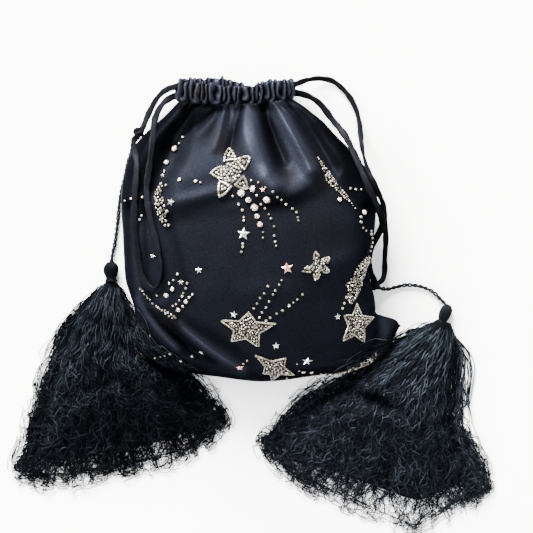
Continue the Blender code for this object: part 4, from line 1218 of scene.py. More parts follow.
def star_beads(name, form, bead, draw):
    """Frames and tints of a star's beads: its edging, then its rows and the beads packed inside.

    Also says how many of them make the edging. A strip has none.
    """
    frames, tints, taken = [], [], np.empty((0, 3))
    corners, middle = star_outline(name, form)
    edges = petal_outlines(name) if form == "petals" else [along_outline(corners, 24)]
    strip = form == "strip"

    def sew(x, y, lift, size, turn, tilt, tint, gap):
        nonlocal taken
        place = np.array(drop(x, y)[0])
        if len(taken) and np.min(np.sum((taken - place) ** 2, axis=1)) < gap * gap:
            return
        taken = np.vstack([taken, place])
        frames.append(frame_on_cloth(x, y, lift, size, turn, tilt))
        tints.append(tint + draw.uniform(-0.07, 0.07))

    def sew_row(path, step, gap, tones):
        closed = np.vstack([path, path[:1]])
        ways = path_ways(closed)
        for way in np.linspace(0, ways[-1], max(4, round(ways[-1] / step)) + 1)[:-1]:
            x, y = np.interp(way, ways, closed[:, 0]), np.interp(way, ways, closed[:, 1])
            ahead = (way + 0.3 * step) % ways[-1]
            turn = math.atan2(np.interp(ahead, ways, closed[:, 1]) - y,
                              np.interp(ahead, ways, closed[:, 0]) - x)
            lift = mound(max(0.0, distance_inside([(x, y)], corners)[0]), ROW_LIFT)
            sew(x, y, lift, (bead * 0.94,) * 3, turn, (0.0, 0.0), draw.choice(tones), gap)

    for edge in [] if strip else edges:
        rim = edge.mean(axis=0) + (edge - edge.mean(axis=0)) * 0.97
        if form == "petals":
            away = np.linalg.norm(edge - middle, axis=1)
            sew_row(rim[away > 0.55 * away.max()], bead * 0.95, bead * 0.70, PETAL_EDGE_TONES)
        else:
            sew_row(rim, bead * 0.90, bead * 0.66, POINT_EDGE_TONES)
    edging_count = len(frames)
    if form == "petals":
        for share in PETAL_ROWS:
            for edge in edges:
                centre = edge.mean(axis=0)
                row = centre + (edge - centre) * share
                sew_row(row, bead * 0.95, bead * 0.76, PETAL_ROW_TONES)
    places = draw.uniform(corners.min(axis=0), corners.max(axis=0), (BEAD_TRIES, 2))
    for (x, y), inset in zip(places, distance_inside(places, corners)):
        if inset < (0.45 if strip else 0.60) * bead:
            continue
        lift = mound(inset, PACKED_LIFT)
        size = bead * (draw.uniform(0.62, 0.98) if strip else draw.uniform(0.78, 1.05))
        tilt = (draw.uniform(-0.7, 0.7), draw.uniform(-0.7, 0.7))
        tone = draw.choice(PACKED_TONES, p=STRIP_SHARES if strip else STAR_SHARES)
        size = (size, size, size * draw.uniform(0.85, 1.1))
        sew(x, y, lift, size, draw.uniform(0, 6.28), tilt, tone, bead * (0.74 if strip else 0.88))
    return frames, tints, edging_count


def star_pad(name, form):
    """The dark netting under a star's beads: a low dome that follows the cloth."""
    corners, middle = star_outline(name, form)
    edge = along_outline(corners, 5)
    edge = edge - (edge - middle) * 0.06
    points = []
    for scale in PAD_RINGS:
        for x, y in middle + (edge - middle) * scale:
            lift = 0.0003 + 0.0005 * (1 - scale) ** 0.5
            points.append(drop(x, y)[0] + way_out(x, y) * lift)
    points.append(drop(*middle)[0] + way_out(*middle) * 0.0008)
    count = len(edge)
    faces = ring_faces(len(PAD_RINGS), count).tolist()
    last = (len(PAD_RINGS) - 1) * count
    faces += [(last + k, last + (k + 1) % count, len(points) - 1) for k in range(count)]
    return points, faces


def frame_at(photo_x, photo_y, lift, radius, turn):
    """A frame that stands on the cloth at a place of the photo, turned by degrees."""
    return frame_on_cloth(across(photo_x), along(photo_y), lift, (radius,) * 3, math.radians(turn))


def densify(rows, count=64):
    """A table of rows read smoothly at many even steps."""
    at = np.arange(len(rows), dtype=float)
    table = np.column_stack([at, rows])
    steps = np.linspace(0, len(rows) - 1, count)
    return np.stack([read_table(table, k, steps) for k in range(1, table.shape[1])], axis=1)


def skirt_place(rows, tips, tau, share):
    """A place in a skirt: tau runs from its neck, 0, to its ends, 1, and share across it."""
    fine = densify(rows)
    left, right, height = from_photo(fine[:, 0:2]), from_photo(fine[:, 2:4]), fine[:, 4]
    row = np.clip(tau / SKIRT_SHARE, 0, 1) * (len(fine) - 1)
    k = np.clip(row.astype(int), 0, len(fine) - 2)
    t = row - k

    def at_row(values):
        part = t if values.ndim == 1 else t[..., None]
        return values[k] * (1 - part) + values[k + 1] * part

    start, width = at_row(left), at_row(right) - at_row(left)
    flat = start + width * share[..., None]
    past = np.clip((tau - SKIRT_SHARE) / (1 - SKIRT_SHARE), 0, None)
    pixel = POUCH_WIDTH / 2 / PHOTO_HALF_WIDTH
    hang = np.interp(share, np.linspace(0, 1, len(tips)), np.array(tips) * pixel)
    way = left[-1] + (right[-1] - left[-1]) * share[..., None] - (left[0] + right[0]) / 2
    way /= np.linalg.norm(way, axis=-1, keepdims=True)
    top = at_row(height) * (1 - 0.72 * np.clip(past, 0, 1) ** 0.8)
    return flat + way * (past * hang)[..., None], top


def crease_depth(flat, creases):
    """How deep the skirt's creases are at each place."""
    total = np.zeros(flat.shape[:-1])
    for start, end, width, depth in creases:
        place, share = nearest_place(flat, from_photo(start), from_photo(end))
        gap = np.linalg.norm(flat - place, axis=-1)
        total += depth * np.sin(np.pi * (0.12 + 0.76 * share)) * np.exp(-((gap / width) ** 2))
    return total


def skirt_core(rows, tips, creases, seed):
    """The closed mass of threads under the loose ones: its points and faces."""
    along_count, across_count = CORE_GRID
    tau = np.linspace(0.0, 0.94, along_count)[:, None] + np.zeros((1, across_count))
    share = np.linspace(0.06, 0.94, across_count)[None, :] + np.zeros((along_count, 1))
    share = share + (0.05 * np.sin(31 * tau) + 0.04 * np.sin(57 * tau)) * (share - 0.5)
    flat, top = skirt_place(rows, tips, tau, share)
    dome = np.clip(1 - np.abs((share - 0.5) / 0.45) ** 2.4, 0.0, 1) ** 0.5
    lumps = cloth_waves(flat[..., 0], flat[..., 1], seed, 0.008, 0.030, 24)
    lumps = lumps + 0.5 * cloth_waves(flat[..., 0], flat[..., 1], seed + 1, 0.004, 0.008, 16)
    z = top * (0.10 + 0.74 * dome) + CORE_LUMPS * lumps * np.clip(tau * 4, 0, 1)
    z = z - crease_depth(flat, creases)
    upper = np.dstack([flat, np.maximum(z, 0.0012)])
    lower = upper.copy()
    lower[..., 2] = 0.0004
    loops = np.concatenate([upper, lower[:, ::-1]], axis=1)
    count = 2 * across_count
    faces = ring_faces(along_count, count).tolist()
    last = (along_count - 1) * count
    for k in range(across_count - 1):
        faces.append([k + 1, k, count - 1 - k, count - 2 - k])
        faces.append([last + k, last + k + 1, last + count - 2 - k, last + count - 1 - k])
    return loops.reshape(-1, 3), faces


class HeightMap:
    """How high the tassel's mass or the pouch's cloth stands, read from an even grid."""

    def __init__(self, points, faces, margin=0.05, step=0.0015):
        tree = BVHTree.FromPolygons([Vector(p) for p in points], faces)
        self.low = points[:, :2].min(axis=0) - margin
        counts = np.ceil((points[:, :2].max(axis=0) + margin - self.low) / step).astype(int) + 1
        self.step = step
        self.grid = np.zeros(counts)
        for i in range(counts[0]):
            for j in range(counts[1]):
                x, y = self.low + step * np.array((i, j))
                place, _normal, _face, _way = tree.ray_cast(Vector((x, y, 0.2)), Vector((0, 0, -1)))
                self.grid[i, j] = max(cloth_height(x, y), 0.0 if place is None else place.z)
        for _pass in range(2):
            around = np.pad(self.grid, 1, mode="edge")
            mean = (around[:-2, 1:-1] + around[2:, 1:-1] + around[1:-1, :-2] + around[1:-1, 2:]) / 4
            self.grid = np.maximum(self.grid, 0.5 * self.grid + 0.5 * mean)

    def at(self, x, y):
        i, j = (x - self.low[0]) / self.step, (y - self.low[1]) / self.step
        i = np.clip(i, 0, self.grid.shape[0] - 1.001)
        j = np.clip(j, 0, self.grid.shape[1] - 1.001)
        i0, j0 = i.astype(int), j.astype(int)
        a, b = i - i0, j - j0
        near = self.grid[i0, j0] * (1 - a) + self.grid[i0 + 1, j0] * a
        far = self.grid[i0, j0 + 1] * (1 - a) + self.grid[i0 + 1, j0 + 1] * a
        return near * (1 - b) + far * b


def skirt_edge(rows, tips):
    """The outline of a skirt's mass, from its neck down its left side, round and up again."""
    down = np.linspace(0, 1, 30)
    round_end = np.linspace(0, 1, 40)
    left, _top = skirt_place(rows, tips, down, np.zeros(30))
    end, _top = skirt_place(rows, tips, np.ones(40), round_end)
    right, _top = skirt_place(rows, tips, down[::-1], np.ones(30))
    return np.vstack([left, end, right])


def keep_near(flat, edge, reach):
    """Turns back the points outside an outline, so that no path goes further out than its reach."""
    shape = flat.shape
    points = flat.reshape(-1, 2)
    best = np.full(len(points), 1e9)
    nearest = np.zeros_like(points)
    for a, b in zip(edge, np.roll(edge, -1, 0)):
        place, _share = nearest_place(points, a, b)
        gap = np.linalg.norm(points - place, axis=1)
        closer = gap < best
        best = np.where(closer, gap, best)
        nearest = np.where(closer[:, None], place, nearest)
    inside = distance_inside(points, edge) > 0
    limit = np.repeat(reach, shape[1])
    far = best / limit
    drawn = limit * 2 * far / (1 + far * far)
    out = (points - nearest) / np.maximum(best, 1e-9)[:, None]
    return np.where(inside[:, None], points, nearest + out * drawn[:, None]).reshape(shape)


def curled_threads(rows, tips, heights, draw, count, kind):
    """Paths of crinkled threads of one kind, which lie over the skirt and run past its ends."""
    steps, spacing, starts, kink, stand, edges, reaches = kind
    tau = draw.uniform(starts[0] ** 1.5, starts[1] ** 1.5, count) ** (1 / 1.5)
    near_head = draw.uniform(0, 1, count) < NEAR_HEAD
    tau = np.where(near_head, starts[0] + draw.uniform(0, NEAR_HEAD, count), tau)
    share = draw.uniform(0.0, 1.0, count)
    at_edge = draw.uniform(0, 1, count) < edges
    side = np.where(draw.uniform(0, 1, count) < 0.5, 0.03, 0.97)
    share = np.where(at_edge, side + draw.normal(0, 0.03, count), share)
    ways = np.arange(steps)[None, :] * spacing
    outward = np.sign(share - 0.5) * draw.uniform(0.5, 4.0, count)
    drift = np.where(at_edge, outward, draw.normal(0, 2.5, count))
    down = tau[:, None] + ways * RUN_DOWN
    base, _top = skirt_place(rows, tips, down, share[:, None] + drift[:, None] * ways)
    step = np.gradient(base, axis=1)
    heading = np.arctan2(step[..., 1], step[..., 0])
    crinkle = np.zeros_like(heading)
    for size, low, high in CRINKLES:
        length = draw.uniform(low, high, (count, 1))
        strength = size * draw.uniform(0.4, 1.3, (count, 1))
        start = draw.uniform(0, 2 * np.pi, (count, 1))
        crinkle += strength * np.sin(2 * np.pi * ways / length + start)
    # Combed near the head, and more and more crinkled towards the ends
    wild = kink * (0.22 + 0.78 * np.clip((down - 0.22) / 0.40, 0, 1))
    heading = heading + wild * crinkle + draw.normal(0, 6.0, (count, 1)) * ways * wild
    heading = heading + draw.normal(0, 0.35, (count, 1)) * wild
    flat = np.cumsum(np.stack([np.cos(heading), np.sin(heading)], axis=-1) * spacing, axis=1)
    flat = flat + base[:, :1]
    reach = reaches[0] + (reaches[1] - reaches[0]) * draw.uniform(0, 1, count) ** 1.4
    flat = keep_near(flat, skirt_edge(rows, tips), reach * draw.uniform(0.6, 1.2, count))
    level = heights.at(flat[..., 0], flat[..., 1])
    length = draw.uniform(0.009, 0.024, (count, 1))
    wave = np.sin(2 * np.pi * ways / length + draw.uniform(0, 6.3, (count, 1)))
    rise = stand * draw.uniform(0.1, 1.0, (count, 1)) * (0.55 + 0.45 * wave)
    rise = rise * np.clip(ways / 0.006, 0, 1) - 0.0010 * np.clip(1 - ways / 0.004, 0, 1)
    z = level + 0.0003 + rise
    eased = np.pad(z, ((0, 0), (1, 1)), mode="edge")
    z = np.maximum((eased[:, :-2] + eased[:, 1:-1] + eased[:, 2:]) / 3, 0.0005)
    return np.dstack([flat, z])


def thread_tones(draw, count):
    """A tone for each thread: most are dark, and some catch the light."""
    light = draw.uniform(0, 1, count) < LIGHT_THREADS
    return np.where(light, draw.uniform(0.62, 0.95, count), draw.uniform(0.2, 0.45, count))


def colour_setting(name, description, default):
    return bpy.props.FloatVectorProperty(name=name, description=description, default=default,
                                         subtype="COLOR", size=3, min=0.0, max=1.0)


def length_setting(name, description, default):
    return bpy.props.FloatProperty(name=name, description=description, default=default,
                                   unit="LENGTH")


class SatinSettings(bpy.types.PropertyGroup):
    """The cloth of the pouch and its strings."""

    colour: colour_setting("Satin", "The satin's main colour", (0.0026, 0.0027, 0.0036))
    navy: colour_setting("Navy cast", "The bluest of the dye", (0.0026, 0.0030, 0.0046))
    brown: colour_setting("Brown cast", "The brownest of the dye", (0.0028, 0.0027, 0.0032))
    roughness: bpy.props.FloatProperty(
        name="Roughness", description="How matt the satin is", min=0.0, max=1.0, default=0.41)
    wall: length_setting("Cloth", "Thickness of the cloth with its lining", 0.0009)
    pleat_depth: length_setting("Pleat depth", "How deep the casing's pleats are", 0.0047)
    pleats: bpy.props.IntProperty(
        name="Pleats", description="Pleats round the casing, an even number", default=46)
    string_thickness: length_setting("String thickness", "Thickness of the satin strings", 0.0023)
    cord_diameter: length_setting("Cord", "Diameter of the twisted cords", 0.0028)


class TrimSettings(bpy.types.PropertyGroup):
    """Beads, stones and metal stars."""

    trail_bead: length_setting("Trail bead", "Diameter of the beads sewn one by one", 0.0023)
    silver: colour_setting("Silver", "The bright metal stars", (0.42, 0.42, 0.43))
    rose: colour_setting("Rose", "The rose metal stars", (0.48, 0.24, 0.185))
    pewter: colour_setting("Pewter", "The dark metal stars", (0.16, 0.155, 0.145))


class TasselSettings(bpy.types.PropertyGroup):
    """The tassels' threads."""

    thread: colour_setting("Thread", "The threads' colour", (0.0048, 0.0060, 0.0080))
    thread_diameter: length_setting("Thread diameter", "Diameter of one thread", 0.00078)
    threads: bpy.props.IntProperty(
        name="Threads", description="Threads that lie over each skirt", default=1240)
    strays: bpy.props.IntProperty(
        name="Strays", description="Long loose threads of one tassel", default=26)
    fringe: bpy.props.IntProperty(
        name="Fringe", description="Threads that run past each skirt's ends", default=640)


class StageSettings(bpy.types.PropertyGroup):
    """The floor, the lights and the camera."""

    camera_height: length_setting("Camera height", "Height of the camera", 4.0)
    key: bpy.props.FloatProperty(
        name="Key light", description="Power of the large light beyond the mouth", default=6000.0)
    side: bpy.props.FloatProperty(
        name="Side light", description="Power of the small lights at the left and foot",
        default=420.0)
    sky: bpy.props.FloatProperty(
        name="Room light", description="Brightness of the room", default=3.0)
    floor: colour_setting("Floor", "The floor's colour", (0.98, 0.98, 0.98))


class POUCH_OT_stage(bpy.types.Operator):
    """Lays the floor, hangs the soft lights and places the camera over the pouch"""

    bl_idname = "pouch.stage"
    bl_label = "Stage"

    def execute(self, context):
        stage = context.scene.pouch_stage
        clear_selection()
        bpy.ops.mesh.primitive_plane_add(size=9.0, location=(0.0, 0.0, -0.0004))
        floor = context.object
        floor.name = "floor"
        material, _shader = new_material("pale_floor", stage.floor, 0.9)
        floor.data.materials.append(material)
        aim = Vector((across(PHOTO_CENTRE[0]), along(PHOTO_CENTRE[1]), 0.0))
        for name, place, power, share, size, colour in LIGHTS:
            lamp = bpy.data.lights.new(name, "AREA")
            lamp.energy, lamp.size, lamp.color = share * getattr(stage, power), size, colour
            lit = bpy.data.objects.new(name, lamp)
            lit.location = place
            lit.rotation_euler = (aim - Vector(place)).to_track_quat("-Z", "Y").to_euler()
            context.scene.collection.objects.link(lit)
        world = bpy.data.worlds.new("room")
        world.use_nodes = True
        background = world.node_tree.nodes["Background"]
        # The room is dark overhead and paler round the sides
        place = add_node(world, "ShaderNodeTexCoord")
        parts = add_node(world, "ShaderNodeSeparateXYZ")
        link(world, place.outputs["Generated"], parts.inputs["Vector"])
        paler = ((0.35, (1.0, 1.0, 1.0)), (0.80, (0.75, 0.77, 0.82)))
        link(world, ramp_node(world, parts.outputs["Z"], paler), background.inputs["Color"])
        background.inputs["Strength"].default_value = stage.sky
        context.scene.world = world
        lens = bpy.data.cameras.new("camera")
        view_width = PHOTO_SIZE * POUCH_WIDTH / 2 / PHOTO_HALF_WIDTH
        lens.lens = lens.sensor_width * (stage.camera_height - POUCH_DEPTH / 2) / view_width
        lens.clip_end = 50.0
        camera = bpy.data.objects.new("camera", lens)
        camera.location = (aim.x, aim.y, stage.camera_height)
        context.scene.collection.objects.link(camera)
        context.scene.camera = camera
        return {"FINISHED"}


def string_path(route, thickness):
    """A string's middle line, drawn on into the casing and the knot, and laid on the cloth."""
    start, after, end = np.array(route[0]), np.array(route[1]), np.array(route[-1])
    knot = min((np.array(row[1]) for row in KNOTS), key=lambda middle: np.linalg.norm(middle - end))
    inside = start + (start - after) / np.linalg.norm(start - after) * STRING_INSIDE
    path = smooth_route([tuple(inside), *route, tuple(end + (knot - end) * 0.75)], STRING_STEP)
    cloth = np.array([cloth_height(x, y) for x, y, _z in path])
    lowest = np.where(cloth > 0, cloth + thickness * 0.62, 0)
    path[:, 2] = np.maximum(path[:, 2] - 0.0003, lowest)
    eased = np.convolve(np.pad(path[:, 2], 4, mode="edge"), np.ones(9) / 9, "valid")
    path[:, 2] = np.maximum(eased, path[:, 2] - 0.0004)
    return path


class POUCH_OT_drawstrings(bpy.types.Operator):
    """Makes the four lengths of flat satin string, from the casing to the knots"""

    bl_idname = "pouch.drawstrings"
    bl_label = "Drawstrings"

    def execute(self, context):
        satin = context.scene.pouch_satin
        material = satin_material("string_satin", (tuple(satin.colour),) * 3, 0.44)
        thickness = satin.string_thickness
        sides = STRING_SIDES
        turn = 2 * np.pi * np.arange(sides) / sides
        for name, length, width, turns_over, route in STRINGS:
            path = string_path(route, thickness)
            at = np.linspace(0, 1, len(path))
            roll = np.pi * turns_over * np.clip((at - TURNS_OVER[0]) / TURNS_OVER[1], 0, 1)
            roll = roll + 0.35 * np.sin(at * length * 70)
            side, up = path_sides(path)
            up = up * np.cos(roll)[:, None] + side * np.sin(roll)[:, None]
            # The groove of a folded string: its section is pinched at the middle of its face
            pinch = 1 - 0.42 * np.exp(-((np.cos(turn) / 0.30) ** 2))
            uneven = 1 + 0.09 * np.sin(at * length * 260) + 0.06 * np.sin(at * length * 610 + 1)
            points, faces = tubes(path[None], uneven[None], sides, width / 2 * np.ones(sides),
                                  thickness / 2 * pinch, up[None])
            made = new_piece(name + "_satin", points, faces)
            u = np.tile(turn, len(path)) * width * 5
            v = np.repeat(at * length * 10, sides)
            give_uv(made, np.stack([u, v], axis=1))
            finish_piece(made, [material], [name])
        return {"FINISHED"}


class POUCH_OT_tassel_cords(bpy.types.Operator):
    """Twists the two cords that run from the knots to the tassels"""

    bl_idname = "pouch.tassel_cords"
    bl_label = "Tassel cords"

    def execute(self, context):
        diameter = context.scene.pouch_satin.cord_diameter
        material = thread_material("cord_thread", tuple(context.scene.pouch_tassel.thread))
        for name, length, route in TWISTED_CORDS:
            path = smooth_route(route, CORD_STEP)
            side, up = path_sides(path)
            at = np.linspace(0, length, len(path))
            plies = []
            for ply in range(2):
                turn = (2 * np.pi * at / CORD_PITCH + math.pi * ply)[:, None]
                slack = diameter * (0.28 + 0.06 * np.sin(at * 310 + ply))[:, None]
                plies.append(path + (side * np.cos(turn) + up * np.sin(turn)) * slack)
            points, faces = tubes(np.array(plies), diameter * 0.29, 7)
            points[:, 2] = np.maximum(points[:, 2], 0.0001)
            made = new_piece(name + "_plies", points, faces)
            finish_piece(made, [material], [name])
        return {"FINISHED"}


class POUCH_OT_knots(bpy.types.Operator):
    """Ties the knots: two turns of string round the strings that meet there"""

    bl_idname = "pouch.knots"
    bl_label = "Knots"

    def execute(self, context):
        satin = context.scene.pouch_satin
        material = satin_material("knot_satin", (tuple(satin.colour),) * 3, 0.46)
        size, widening, height, thickness = KNOT_FORM
        for name, middle, axis in KNOTS:
            axis = Vector(axis).normalized()
            turned = axis.to_track_quat("Z", "Y").to_matrix()
            t = np.linspace(0, 2 * np.pi, 61)[:-1]
            radius = size + widening * np.cos(3 * t)
            rise = height * np.sin(3 * t)
            loop = np.stack([radius * np.cos(2 * t), radius * np.sin(2 * t), rise], axis=1)
            loop = loop @ np.array(turned).T + np.array(middle)
            loop = np.vstack([loop, loop[:1]])
            points, faces = tubes(loop[None], thickness, 10)
            made = new_piece(name + "_satin", points, faces[:-2])
            choose(made)
            edit_all()
            bpy.ops.mesh.remove_doubles(threshold=0.00002)
            bpy.ops.object.mode_set(mode="OBJECT")
            face_outwards(made)
            finish_piece(made, [material], [name])
        return {"FINISHED"}


class POUCH_OT_bag(bpy.types.Operator):
    """Makes the satin bag with its folds, gathers and bottom corners"""

    bl_idname = "pouch.bag"
    bl_label = "Bag"

    def execute(self, context):
        satin = context.scene.pouch_satin
        grid = bag_grid()
        faces = ring_faces(*grid.shape[:2]).tolist() + bottom_faces(grid[0])
        made = new_piece("bag_satin", grid, faces)
        face_outwards(made)
        around = np.linalg.norm(np.diff(grid, axis=1, append=grid[:, :1]), axis=2)
        upward = np.linalg.norm(np.diff(grid, axis=0, prepend=grid[:1]), axis=2)
        uv = np.stack([np.cumsum(around, axis=1), np.cumsum(upward, axis=0)], axis=-1)
        give_uv(made, uv.reshape(-1, 2) * 10)
        # Painted shade and painted highlights on the front, kept on the points for the satin's
        # colour; the back gets none
        painted_light = strokes(PAINTED_LIGHT_STROKES, *on_photo(grid[..., 0], grid[..., 1]))
        painted_light[:, BAG_FRONT_COLUMNS:] = 0.0
        keep_values(made, "painted_light", np.clip(painted_light, *PAINTED_LIGHT_RANGE))
        thicken(made, satin.wall)
        colours = [tuple(colour) for colour in (satin.colour, satin.navy, satin.brown)]
        material = satin_material("bag_satin", colours, satin.roughness)
        finish_piece(made, [material], ["pouch_body"])
        return {"FINISHED"}


def neck_loop(columns):
    """Even points round the neck seam, how far round it each lies, and the way out there."""
    share, front, back = ring_places(400, 400)
    photo_x, photo_y, height = bag_surface(share, front, back, np.ones_like(share))
    form = np.stack([across(photo_x), along(photo_y), height], axis=-1)
    closed = np.vstack([form, form[:1]])
    ways = path_ways(closed)
    even = np.linspace(0, ways[-1], columns + 1)[:-1]
    loop = np.stack([np.interp(even, ways, closed[:, axis]) for axis in range(3)], axis=1)
    way = np.roll(loop, -1, 0) - np.roll(loop, 1, 0)
    out = np.stack([-way[:, 2], np.zeros(columns), way[:, 0]], axis=1)
    return loop, even, out / np.linalg.norm(out, axis=1, keepdims=True)


class POUCH_OT_casing(bpy.types.Operator):
    """Makes the ruffled casing that the strings run in"""

    bl_idname = "pouch.casing"
    bl_label = "Casing"

    def execute(self, context):
        satin = context.scene.pouch_satin
        columns, rows = CASING_GRID
        loop, even, out = neck_loop(columns)
        front = loop[:, 2] > loop[:, 2].mean()
        left, right = across(ROWS[-1, LEFT]), across(ROWS[-1, RIGHT])
        middle = (left + right) / 2
        draw = np.random.default_rng(5)
        turn = 2 * np.pi * np.arange(columns) / columns
        number = turn / (2 * np.pi) * satin.pleats
        number = number + 0.22 * np.sin(9 * turn) + 0.16 * np.sin(15 * turn + 1)
        of_pleat = np.floor(number + 0.5).astype(int) % satin.pleats
        # Two more of each are drawn than there are pleats
        count = satin.pleats + 2
        sizes = draw.uniform(*PLEAT_SIZES, count)[of_pleat] ** 0.7
        tops = draw.uniform(-PLEAT_TOPS, PLEAT_TOPS, count)[of_pleat]
        leans = draw.uniform(-PLEAT_LEAN, PLEAT_LEAN, count)[of_pleat] * np.cos(np.pi * number) ** 2
        steep, level, darkest, lightest = CREST_PAINTED_LIGHT
        steps = np.linspace(0, 1, rows)
        points, tones = np.empty((rows, columns, 3)), np.empty((rows, columns))
        for i, step in enumerate(steps):
            height, swell, pleat = (read_table(CASING_FACE, column, step) for column in (1, 2, 3))
            wander = PLEAT_WANDER * np.sin(5.0 * height + 12 * turn)
            bent = number + (leans + wander) * np.sin(np.pi * height)
            single = np.abs(np.cos(np.pi * bent)) ** 0.75
            paired = np.abs(np.cos(np.pi * bent / 2 + 0.4)) ** 0.62
            foot = np.clip((PAIRED_BELOW - height) / PAIRED_BELOW, 0, 1) ** 1.5
            ridge = single * (1 - foot) + paired * foot
            lift = swell + satin.pleat_depth * pleat * sizes * (ridge - 0.55)
            flat = loop + out * lift[:, None]
            place = np.clip((flat[:, 0] - middle) / ((right - left) / 2), -1, 1)
            seam = along(read_table(NECK_SEAM, 1, place))
            lips = [read_table(CASING_LIPS, column, place) for column in (1, 2)]
            lip = np.where(front, *lips) * (1 + tops * ridge + 0.05 * (ridge - 0.5))
            sag = FOOT_DROP * (ridge - 0.5) * np.clip(1 - height / 0.4, 0, 1)
            points[i, :, 0] = middle + (flat[:, 0] - middle) * (1 - CASING_TAPER * height)
            points[i, :, 1] = seam + CASING_GAP + CASING_HEIGHT * lip * height - sag
            points[i, :, 2] = np.maximum(flat[:, 2], 0.0004)
            # Painted highlights on the pleats' crests and painted shade in the gaps between them
            tones[i] = np.clip(steep * (ridge - level), darkest, lightest)
        made = new_piece("casing_satin", points, ring_faces(rows, columns).tolist())
        keep_values(made, "painted_light", tones)
        face_outwards(made)
        up = np.repeat(steps * CASING_HEIGHT * 2.4, columns)
        give_uv(made, np.stack([np.tile(even, rows), up], axis=1) * 10)
        thicken(made, satin.wall * 0.6)
        # The casing's satin is the bag's colour painted paler: a painted highlight
        colours = [tuple(CASING_PAINTED_PALER * part for part in colour)
                   for colour in (satin.colour, satin.navy, satin.brown)]
        material = satin_material("casing_satin", colours, satin.roughness - CASING_GLOSS)
        finish_piece(made, [material], ["drawstring_casing"])
        return {"FINISHED"}


class POUCH_OT_stars(bpy.types.Operator):
    """Sews the beaded stars: a dark pad, an edging row and packed beads"""

    bl_idname = "pouch.stars"
    bl_label = "Beaded stars"

    def execute(self, context):
        beads = bead_material("star_beads")
        netting = thread_material("star_netting", (0.015, 0.015, 0.015))
        seed, bugle = template(seed_bead), template(bugle_bead)
        draw = np.random.default_rng(21)
        for name, form, bead in STARS:
            frames, tints, edging = star_beads(name, form, bead, draw)
            parts = [(bugle, frames[:edging])] if edging else []
            parts.append((seed, frames[edging:]))
            made = new_piece(name + "_beads", *join_shapes(stamp(*part) for part in parts))
            counts = [len(shape[0]) for shape, placed in parts for _bead in placed]
            keep_values(made, "tint", np.repeat(tints, counts))
            finish_piece(made, [beads], [name], smooth=False)
            if form == "strip":
                continue
            pad = new_piece(name + "_pad", *star_pad(name, form))
            face_outwards(pad)
            thicken(pad, 0.0003)
            finish_piece(pad, [netting])
        return {"FINISHED"}


class POUCH_OT_trails(bpy.types.Operator):
    """Sews the single beads of the comet trails and the strip at the hem"""

    bl_idname = "pouch.trails"
    bl_label = "Bead trails"

    def execute(self, context):
        size = context.scene.pouch_trim.trail_bead
        draw = np.random.default_rng(33)
        frames, tints = [], []
        for trail in BEAD_TRAILS:
            for photo_x, photo_y in trail:
                bead = size * draw.uniform(0.74, 1.02)
                tilt = (draw.uniform(-0.4, 0.4), draw.uniform(-0.4, 0.4))
                frames.append(frame_on_cloth(across(photo_x), along(photo_y), bead * 0.42,
                                             (bead,) * 3, draw.uniform(0, 6.28), tilt))
                tints.append(draw.uniform(0.36, 0.88))
        strip = from_photo(HEM_STRIP)
        for _bead in range(HEM_BEADS):
            at = draw.uniform(0, len(strip) - 1)
            x = np.interp(at, range(len(strip)), strip[:, 0])
            y = np.interp(at, range(len(strip)), strip[:, 1])
            y += draw.uniform(-HEM_HALF_WIDTH, HEM_HALF_WIDTH)
            bead = HEM_BEAD * draw.uniform(0.8, 1.15)
            frames.append(frame_on_cloth(x, y, bead * 0.5, (bead,) * 3, draw.uniform(0, 6.28),
                                         (draw.uniform(-0.6, 0.6), draw.uniform(-0.6, 0.6))))
            tints.append(draw.choice((0.15, 0.5, 0.7, 0.85)) + draw.uniform(-0.05, 0.05))
        shape = template(seed_bead)
        made = new_piece("bead_trails", *stamp(shape, frames))
        keep_values(made, "tint", np.repeat(tints, len(shape[0])))
        finish_piece(made, [bead_material("trail_beads")], smooth=False)
        return {"FINISHED"}


class POUCH_OT_stones(bpy.types.Operator):
    """Sets the cut stones in their cups"""

    bl_idname = "pouch.stones"
    bl_label = "Stones"

    def execute(self, context):
        crystal = crystal_material("crystal")
        cups = tuple(CUP_TONE * part for part in context.scene.pouch_trim.pewter)
        setting = metal_material("stone_setting", cups, 0.2)
        top, cup, prong = template(stone_top), template(stone_cup), template(cup_prong)
        quarter = 2 * math.pi / PRONGS
        turns = [np.array(Matrix.Rotation(quarter * (n + 0.5), 4, "Z")) for n in range(PRONGS)]
        draw = np.random.default_rng(44)
        for k, (photo_x, photo_y, size) in enumerate(STONES):
            node = f"stone_{k + 1:02d}"
            radius = STONE_SHOWN * size * STONE_DIAMETER / 2
            spot = frame_at(photo_x, photo_y, radius * STONE_LIFT, radius, STONE_TURN * k)
            stone = new_piece(node + "_crystal", *stamp(top, [spot]))
            face_outwards(stone)
            # Each facet is painted a brightness of its own: painted reflections and glints
            give_facets_painted_glints(stone, draw)
            finish_piece(stone, [crystal], [node], smooth=False)
            prongs = stamp(prong, [spot @ turn for turn in turns])
            holder = new_piece(node + "_cup", *join_shapes([stamp(cup, [spot]), prongs]))
            face_outwards(holder)
            finish_piece(holder, [setting], smooth=False)
        return {"FINISHED"}


class POUCH_OT_metal_stars(bpy.types.Operator):
    """Sews on the small metal stars"""

    bl_idname = "pouch.metal_stars"
    bl_label = "Metal stars"

    def execute(self, context):
        trim = context.scene.pouch_trim
        metals = {
            "silver": metal_material("silver_metal", tuple(trim.silver), 0.16),
            "rose": metal_material("rose_metal", tuple(trim.rose), 0.24),
            "pewter": metal_material("pewter_metal", tuple(trim.pewter), 0.30),
        }
        shape = template(metal_star)
        for k, (photo_x, photo_y, size, turn, metal) in enumerate(METAL_STARS):
            node = f"metal_star_{k + 1:02d}"
            spot = frame_at(photo_x, photo_y, 0.0003, size * STUD_RADIUS, turn)
            made = new_piece(node + "_metal", *stamp(shape, [spot]))
            finish_piece(made, [metals[metal]], [node], smooth=False)
        return {"FINISHED"}


